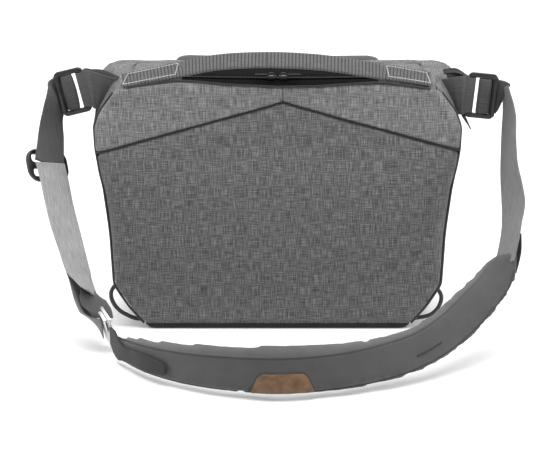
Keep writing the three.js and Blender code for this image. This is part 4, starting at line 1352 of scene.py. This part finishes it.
def anchor_tab(lock):
    side = -1 if lock == "left" else 1
    rear, front = FANS[lock]
    bar = [(-17.5, 3.4), (-12.5, 3.6), (-9.2, 2.2), (-8.4, 0), (-9.2, -2.2), (-12.5, -3.6),
        (-17, -4.2)]
    edges = [rear] + [tuple(tuple(lock_point(lock, out, up, y)) for up in ((19.6,
        -19.6) if out < -15 else (17.6, -17.6)))
                      for out, y in bar] + [front]
    u = np.linspace(0, 1, 90)
    top, bottom = [spline([edge[i] for edge in edges], u) for i in (0, 1)]
    far = np.concatenate([[0],
        np.cumsum(np.linalg.norm(np.diff((top + bottom) / 2, axis=0), axis=1))])
    flat = np.clip((u - 7 / 8) * 8, 0, 1)
    folds = 2.4 * np.exp(-((flat - 0.26) / 0.13) ** 2) + 1.9 * np.exp(-((flat - 0.55) / 0.12) ** 2)
    v = steps(36, 3, (0.5, 1.2, 2.2))
    grid = top[None] + (bottom - top)[None] * v[:, None, None]
    lean = 1 + 0.25 * np.sin(v * 3)[:, None]
    grid[..., 1] -= folds[None] * lean
    grid[..., 1] += (3.0 * flat ** 4)[None]
    uv = np.stack([np.broadcast_to(far, grid.shape[:2]),
        np.broadcast_to(v[:, None] * 36, grid.shape[:2])], -1)
    obj = grid_mesh(f"anchor_tab_{lock}_web", grid, uv, flip=side > 0)
    place(thicken(obj, 1.5), DARK_WEB, ("bag", "strap"), [f"anchor_tab_{lock}"],
          blend=((side * 176, -15, 230), (side * 190, -15, 230)))
    crest = np.array(rear[0])
    tip = lock_point(lock, -17, 17.5, 2.4)
    stops = [(tuple(crest + (side * -2, 2.0, 1)), (0, 0.9, 0.45), 7, 1.6),
             (tuple((crest + tip) / 2 + (0, 2.4, 3.2)), (0, 0.9, 0.45), 8.5, 1.8),
             (tuple(tip), (0, 0.95, 0.3), 6, 1.6)]
    place(ribbon(f"anchor_tab_{lock}_hem", stops, 40, curl=0.8), TAB_BLACK,
        ("bag", "strap"),
          blend=((side * 176, -15, 230), (side * 190, -15, 230)))


anchor_tab("left")
anchor_tab("right")

# ---------------------------------------------------------------- leather patch and small tabs
PATCH_SHIFT, PATCH_LOW, PATCH_HEIGHT = 3.9, 4.4, 18.5
PATCH_HALF, PATCH_TAPER = 27.3, 7.4


def patch_piece(name, grow, lift, thick, material, nodes):
    """Trapezium with rounded upper corners, laid on the pad's outer face."""
    rows, uv = [], []
    for f in [0, 0.03, *np.linspace(0.1, 0.9, 10), 0.97, 1]:
        height = PATCH_LOW - grow * 0.5 + f * (PATCH_HEIGHT + grow * 1.2)
        half = PATCH_HALF + grow - PATCH_TAPER * f - 3.0 * max(0, (f - 0.72) / 0.28) ** 2.5
        row = []
        for a in [-1, -0.98, *np.linspace(-0.93, 0.93, 24), 0.98, 1]:
            edge = min((1 - abs(a)) * half, f * 18, (1 - f) * 18)
            point, _ = on_pad(pad_middle + PATCH_SHIFT + a * half, height,
                lift - 0.45 * math.exp(-(edge / 0.5) ** 2))
            row.append(point)
        rows.append(row)
        uv.append([(a, height) for a in np.linspace(-half, half, len(row))])
    obj = grid_mesh(name, np.array(rows), np.array(uv), flip=False)
    return place(thicken(obj, thick), material, "strap", nodes)


patch_piece("leather_patch_backing", 1.7, 0.9, 1.2, PIPING, [])
patch_piece("leather_patch_face", 0.0, 1.9, 1.6, LEATHER, ["leather_patch"])

# fabric tab that lifts the adjuster's plate: a sewn sleeve round the plate, then a narrow tongue
tab_left = [
    web((-160.5, -157, 19), (-0.05, -0.1, 1), 20, 2.6),
    web((-156, -171, 17), (-0.05, 0.1, 1), 25, 2.6),
    web((-151, -186, 14.5), (-0.05, 0.1, 1), 22, 2.4),
    web((-145.5, -198, 14.5), (-0.1, 0.1, 1), 14, 2.2),
    web((-139, -209, 15.5), (-0.05, 0.1, 1), 13, 2.2),
    web((-127, -229, 16.5), (-0.05, 0.1, 1), 15, 2.2),
    web((-115.5, -242, 16.5), (0, 0.1, 1), 14.5, 2.2),
    web((-104.5, -253, 16.5), (0, 0.1, 1), 11, 2.0),
    web((-102.5, -254.5, 16.5), (0, 0.1, 1), 6, 1.8),
]
place(ribbon("pull_tab_left_web", tab_left, 110), TAB_BLACK, "adjuster",
    ["pull_tab_left"])
tab_right = [web((234.5, -103, 104), (-0.44, 0.74, -0.51), 15, 2),
    web((232.5, -117, 90), (-0.5, 0.7, -0.5), 16, 2),
             web((227.5, -131, 74), (-0.6, 0.68, -0.4), 11, 2)]
place(ribbon("pull_tab_right_web", tab_right, 50), TAB_BLACK, "strap",
    ["pull_tab_right"])


# ---------------------------------------------------------------- back pads
def back_pad(name, side):
    lo, hi = [np.array(c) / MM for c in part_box(name)]
    size = hi - lo
    rings, uv = [], []
    for g, y in [(10, 0), (3, 0.6), (0, 3), (0, 5.2), (1.5, 8.0), (6, 9.6), (14, 10.2), (30, 10.6)]:
        ring = rounded_rect(size[0] - 2 * g, size[2] - 2 * g, max(26 - g, 4), 8)
        rings.append([((lo[0] + hi[0]) / 2 + x, lo[1] + y * 0.86, (lo[2] + hi[2]) / 2 + z) for x,
            z in ring])
        uv.append(ring)
    obj = grid_mesh(f"{name}_cloth", np.array(rings), np.array(uv), closed=True, caps=True,
        flip=True)
    puff(obj, 5.0, 4.0, 5.0, 1)
    co = np.array([v.co for v in obj.data.vertices]) / MM
    x = (co[:, 0] - (lo[0] + hi[0]) / 2) / (size[0] / 2)
    upper = np.clip((co[:, 2] - hi[2] + 60) / 60, 0, 1)
    outward = x * side
    drop = 13 * np.clip((outward - 0.45) / 0.55, 0,
        1) ** 1.6 + 5 * np.clip((-outward - 0.85) / 0.15, 0, 1) ** 2
    co[:, 2] += upper ** 2 * (1.2 - drop)
    rear = np.clip((co[:, 1] - lo[1] - 6) / 5, 0, 1)
    for z_seam in (lo[2] + size[2] * 0.36, lo[2] + size[2] * 0.70):
        line = z_seam - 6 * np.abs(x)
        co[:, 1] -= 2.6 * np.exp(-((co[:, 2] - line) / 3.2) ** 2) * rear
    co[:, 1] = np.maximum(co[:, 1], lo[1] - 0.4)
    co[:, 2] = np.minimum(co[:, 2], hi[2] + 1.5)
    obj.data.vertices.foreach_set("co", (co * MM).ravel())
    set_uv(obj, co[:, [0, 2]] + co[:, [1, 1]])
    place(obj, BACK_PAD, "bag", [name])


back_pad("back_pad_left", -1)
back_pad("back_pad_right", 1)

# ---------------------------------------------------------------- inside: lining, dividers, sleeve
TUB_INSET, TUB_TOP, TUB_FLOOR = 7.8, 231.0, 7.9


def lining_tub():
    """Lining from the lid's opening down the walls and across the floor, one loose cloth."""
    rings = [(LID[0] + 0.3, LID[1] - 0.5, LID[2] + 0.5, 7, f) for f in (2.3, 5.0, 8.0)]
    rings = [(hx, y0, y1, r, top_plane(0) - down) for hx, y0, y1, r, down in rings]
    for z in [TUB_TOP, *np.linspace(224, TUB_FLOOR + 6, 34), TUB_FLOOR + 1.5]:
        rings.append((half_width(z) - TUB_INSET, front_y(z) + TUB_INSET, back_y(z) - TUB_INSET,
                      max(corner(z) - TUB_INSET, 3), z))
    hx, y0, y1, r, _ = rings[-1]
    rings += [(hx - g, y0 + g, y1 - g, max(r - g, 0.5), TUB_FLOOR + 0.1) for g in (1, 5, 12, 22, 34,
        46, 55)]
    rows, uv = [], []
    for hx, y0, y1, r, z in rings:
        ring = loop_points(hx, y0, y1, r, 60, 16, 4)
        middle = np.array([0, (y0 + y1) / 2])
        loose = np.clip((z - TUB_FLOOR - 4) / 20, 0, 1) * np.clip((TUB_TOP + 4 - z) / 20, 0, 1)
        fold = np.array([1.1 * noise.noise(Vector((x / 30, y / 30, z / 38))) - 0.8 for x,
            y in ring]) * loose
        ring = ring + unit(ring - middle) * fold[:, None]
        tilt = (ring[:, 1] / 10 if z > TUB_TOP + 1 else 0 * ring[:, 1])
        rows.append(np.column_stack([ring, z + tilt]))
        uv.append(np.column_stack([ring[:, 0] + ring[:, 1], np.full(len(ring), z)]))
    obj = grid_mesh("lining_tub_cloth", np.array(rows), np.array(uv), closed=True, flip=True)
    return place(thicken(obj, 0.8), LINING, "bag", ["lining_tub"])


def divider(name):
    """Padded slab with bulging faces; its front edge follows the front wall."""
    lo, hi = [np.array(c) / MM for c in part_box(name)]
    middle, half = (lo[0] + hi[0]) / 2, (hi[0] - lo[0]) / 2
    rows, uv = [], []
    for f, shrink in [(0, 2.6), (0.004, 1.2), (0.014, 0.2),
        *[(f, 0) for f in np.linspace(0.03, 0.97, 40)],
                      (0.986, 0.2), (0.996, 1.2), (1, 2.6)]:
        z = lo[2] + 0.5 + f * (hi[2] - lo[2] - 1)
        y0, y1 = front_y(z) + TUB_INSET + 2.2, hi[1] - 0.4
        ring = rounded_rect(2 * half - 1.0 - 2 * shrink, y1 - y0 - 2 * shrink,
            max(2.4 - shrink, 0.3), 5)
        ring = np.array([(x, y) for x, y in ring])
        channel = 0.7 * np.exp(-((z - 80) / 3) ** 2) + 0.7 * np.exp(-((z - 148) / 3) ** 2)
        ring[:, 0] *= 1 - channel / half
        rows.append(np.column_stack([middle + ring[:, 0], (y0 + y1) / 2 + ring[:, 1],
            np.full(len(ring), z)]))
        uv.append(np.column_stack([ring[:, 1] + 3 * ring[:, 0], np.full(len(ring), z)]))
    obj = grid_mesh(f"{name}_cloth", np.array(rows), np.array(uv), closed=True, caps=True)
    soft = obj.modifiers.new("soft", "SUBSURF")
    soft.levels = 1
    settle(obj)
    place(obj, LINING, "bag", [name])
    z = hi[2] - 0.3
    edge = [(middle, y, z + 0.1) for y in np.linspace(front_y(z) + TUB_INSET + 4, hi[1] - 2.5, 12)]
    place(rope(f"{name}_binding", edge, 1.3, 80, 8, 0.8), PIPING, "bag")


def sleeve():
    """Flat panel in front of the back wall, its upper edge bound with tape."""
    lo, hi = [np.array(c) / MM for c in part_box("tablet_sleeve")]
    v, u = steps(210, 5), 2 * steps(276, 5) - 1
    vv, uu = np.meshgrid(v, u, indexing="ij")
    z = lo[2] + vv * (hi[2] - lo[2] - 0.5)
    x = uu * np.minimum(hi[0] - 0.5, half_width(z) - TUB_INSET - 2.5)
    grid = np.stack([x, lo[1] + 0.5 + 0 * x, z], -1)
    grid[..., 1] += 0.5 * bumpy(grid, 60, 21)
    obj = grid_mesh("tablet_sleeve_cloth", grid, np.stack([x, z], -1))
    place(thicken(obj, 1.4), LINING, "bag", ["tablet_sleeve"])
    edge = [(f * (hi[0] - 1), lo[1] + 1.1, hi[2] - 0.9) for f in np.linspace(-1, 1, 12)]
    place(rope("tablet_sleeve_binding", edge, 1.4, 120, 8, 0.7), PIPING, "bag")


def repaint(names, material):
    for name in names:
        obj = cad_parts[name]
        obj.data.materials.clear()
        obj.data.materials.append(material)


lining_tub()
divider("divider_left")
divider("divider_right")
sleeve()
repaint(["foam_front", "foam_back", "foam_base"], FOAM)

# ---------------------------------------------------------------- floor, light and camera
CAMERA_AT = (-0.0025, -2.0006, 0.5888)  # metres
CAMERA_TILT = 76  # degrees from straight down
CAMERA_LENS, CAMERA_SENSOR = 130.9, 36


def stage():
    floor = make("floor", [(-9000, -9000, -0.6), (9000, -9000, -0.6), (9000, 9000, -0.6),
        (-9000, 9000, -0.6)],
                 [(0, 1, 2, 3)], smooth=False)
    white = bpy.data.materials.new("pale_floor")
    white.use_nodes = True
    shader = white.node_tree.nodes["Principled BSDF"].inputs
    shader["Base Color"].default_value = (0.86, 0.86, 0.86, 1)
    shader["Roughness"].default_value = 0.9
    shader["Emission Color"].default_value = (1, 1, 1, 1)
    shader["Emission Strength"].default_value = 0.15
    floor.data.materials.append(white)
    world = bpy.data.worlds.new("studio")
    world.use_nodes = True
    world.node_tree.nodes["Background"].inputs["Color"].default_value = (1, 1, 1, 1)
    world.node_tree.nodes["Background"].inputs["Strength"].default_value = 0.4
    bpy.context.scene.world = world
    for name, at, size, power in [("overhead", (0.0, -0.5, 2.6), 2.6, 84),
        ("left", (-2.4, -0.2, 0.9), 1.6, 22),
                                  ("right", (2.4, -0.2, 0.9), 1.6, 26),
                                  ("back", (0.0, 1.9, 1.8), 2.2, 24)]:
        data = bpy.data.lights.new(name, "AREA")
        data.energy = power
        data.shape = "DISK"
        data.size = size
        lamp = bpy.data.objects.new(name, data)
        lamp.location = at
        aim = Vector((0, -0.1, 0.1)) - Vector(at)
        lamp.rotation_euler = aim.to_track_quat("-Z", "Y").to_euler()
        bpy.context.collection.objects.link(lamp)
    data = bpy.data.cameras.new("camera")
    data.lens = CAMERA_LENS
    data.sensor_width = CAMERA_SENSOR
    data.clip_end = 50
    camera = bpy.data.objects.new("camera", data)
    camera.location = CAMERA_AT
    camera.rotation_euler = (math.radians(CAMERA_TILT), 0, 0)
    bpy.context.collection.objects.link(camera)
    bpy.context.scene.camera = camera
    bpy.context.scene.view_settings.view_transform = "Standard"


stage()
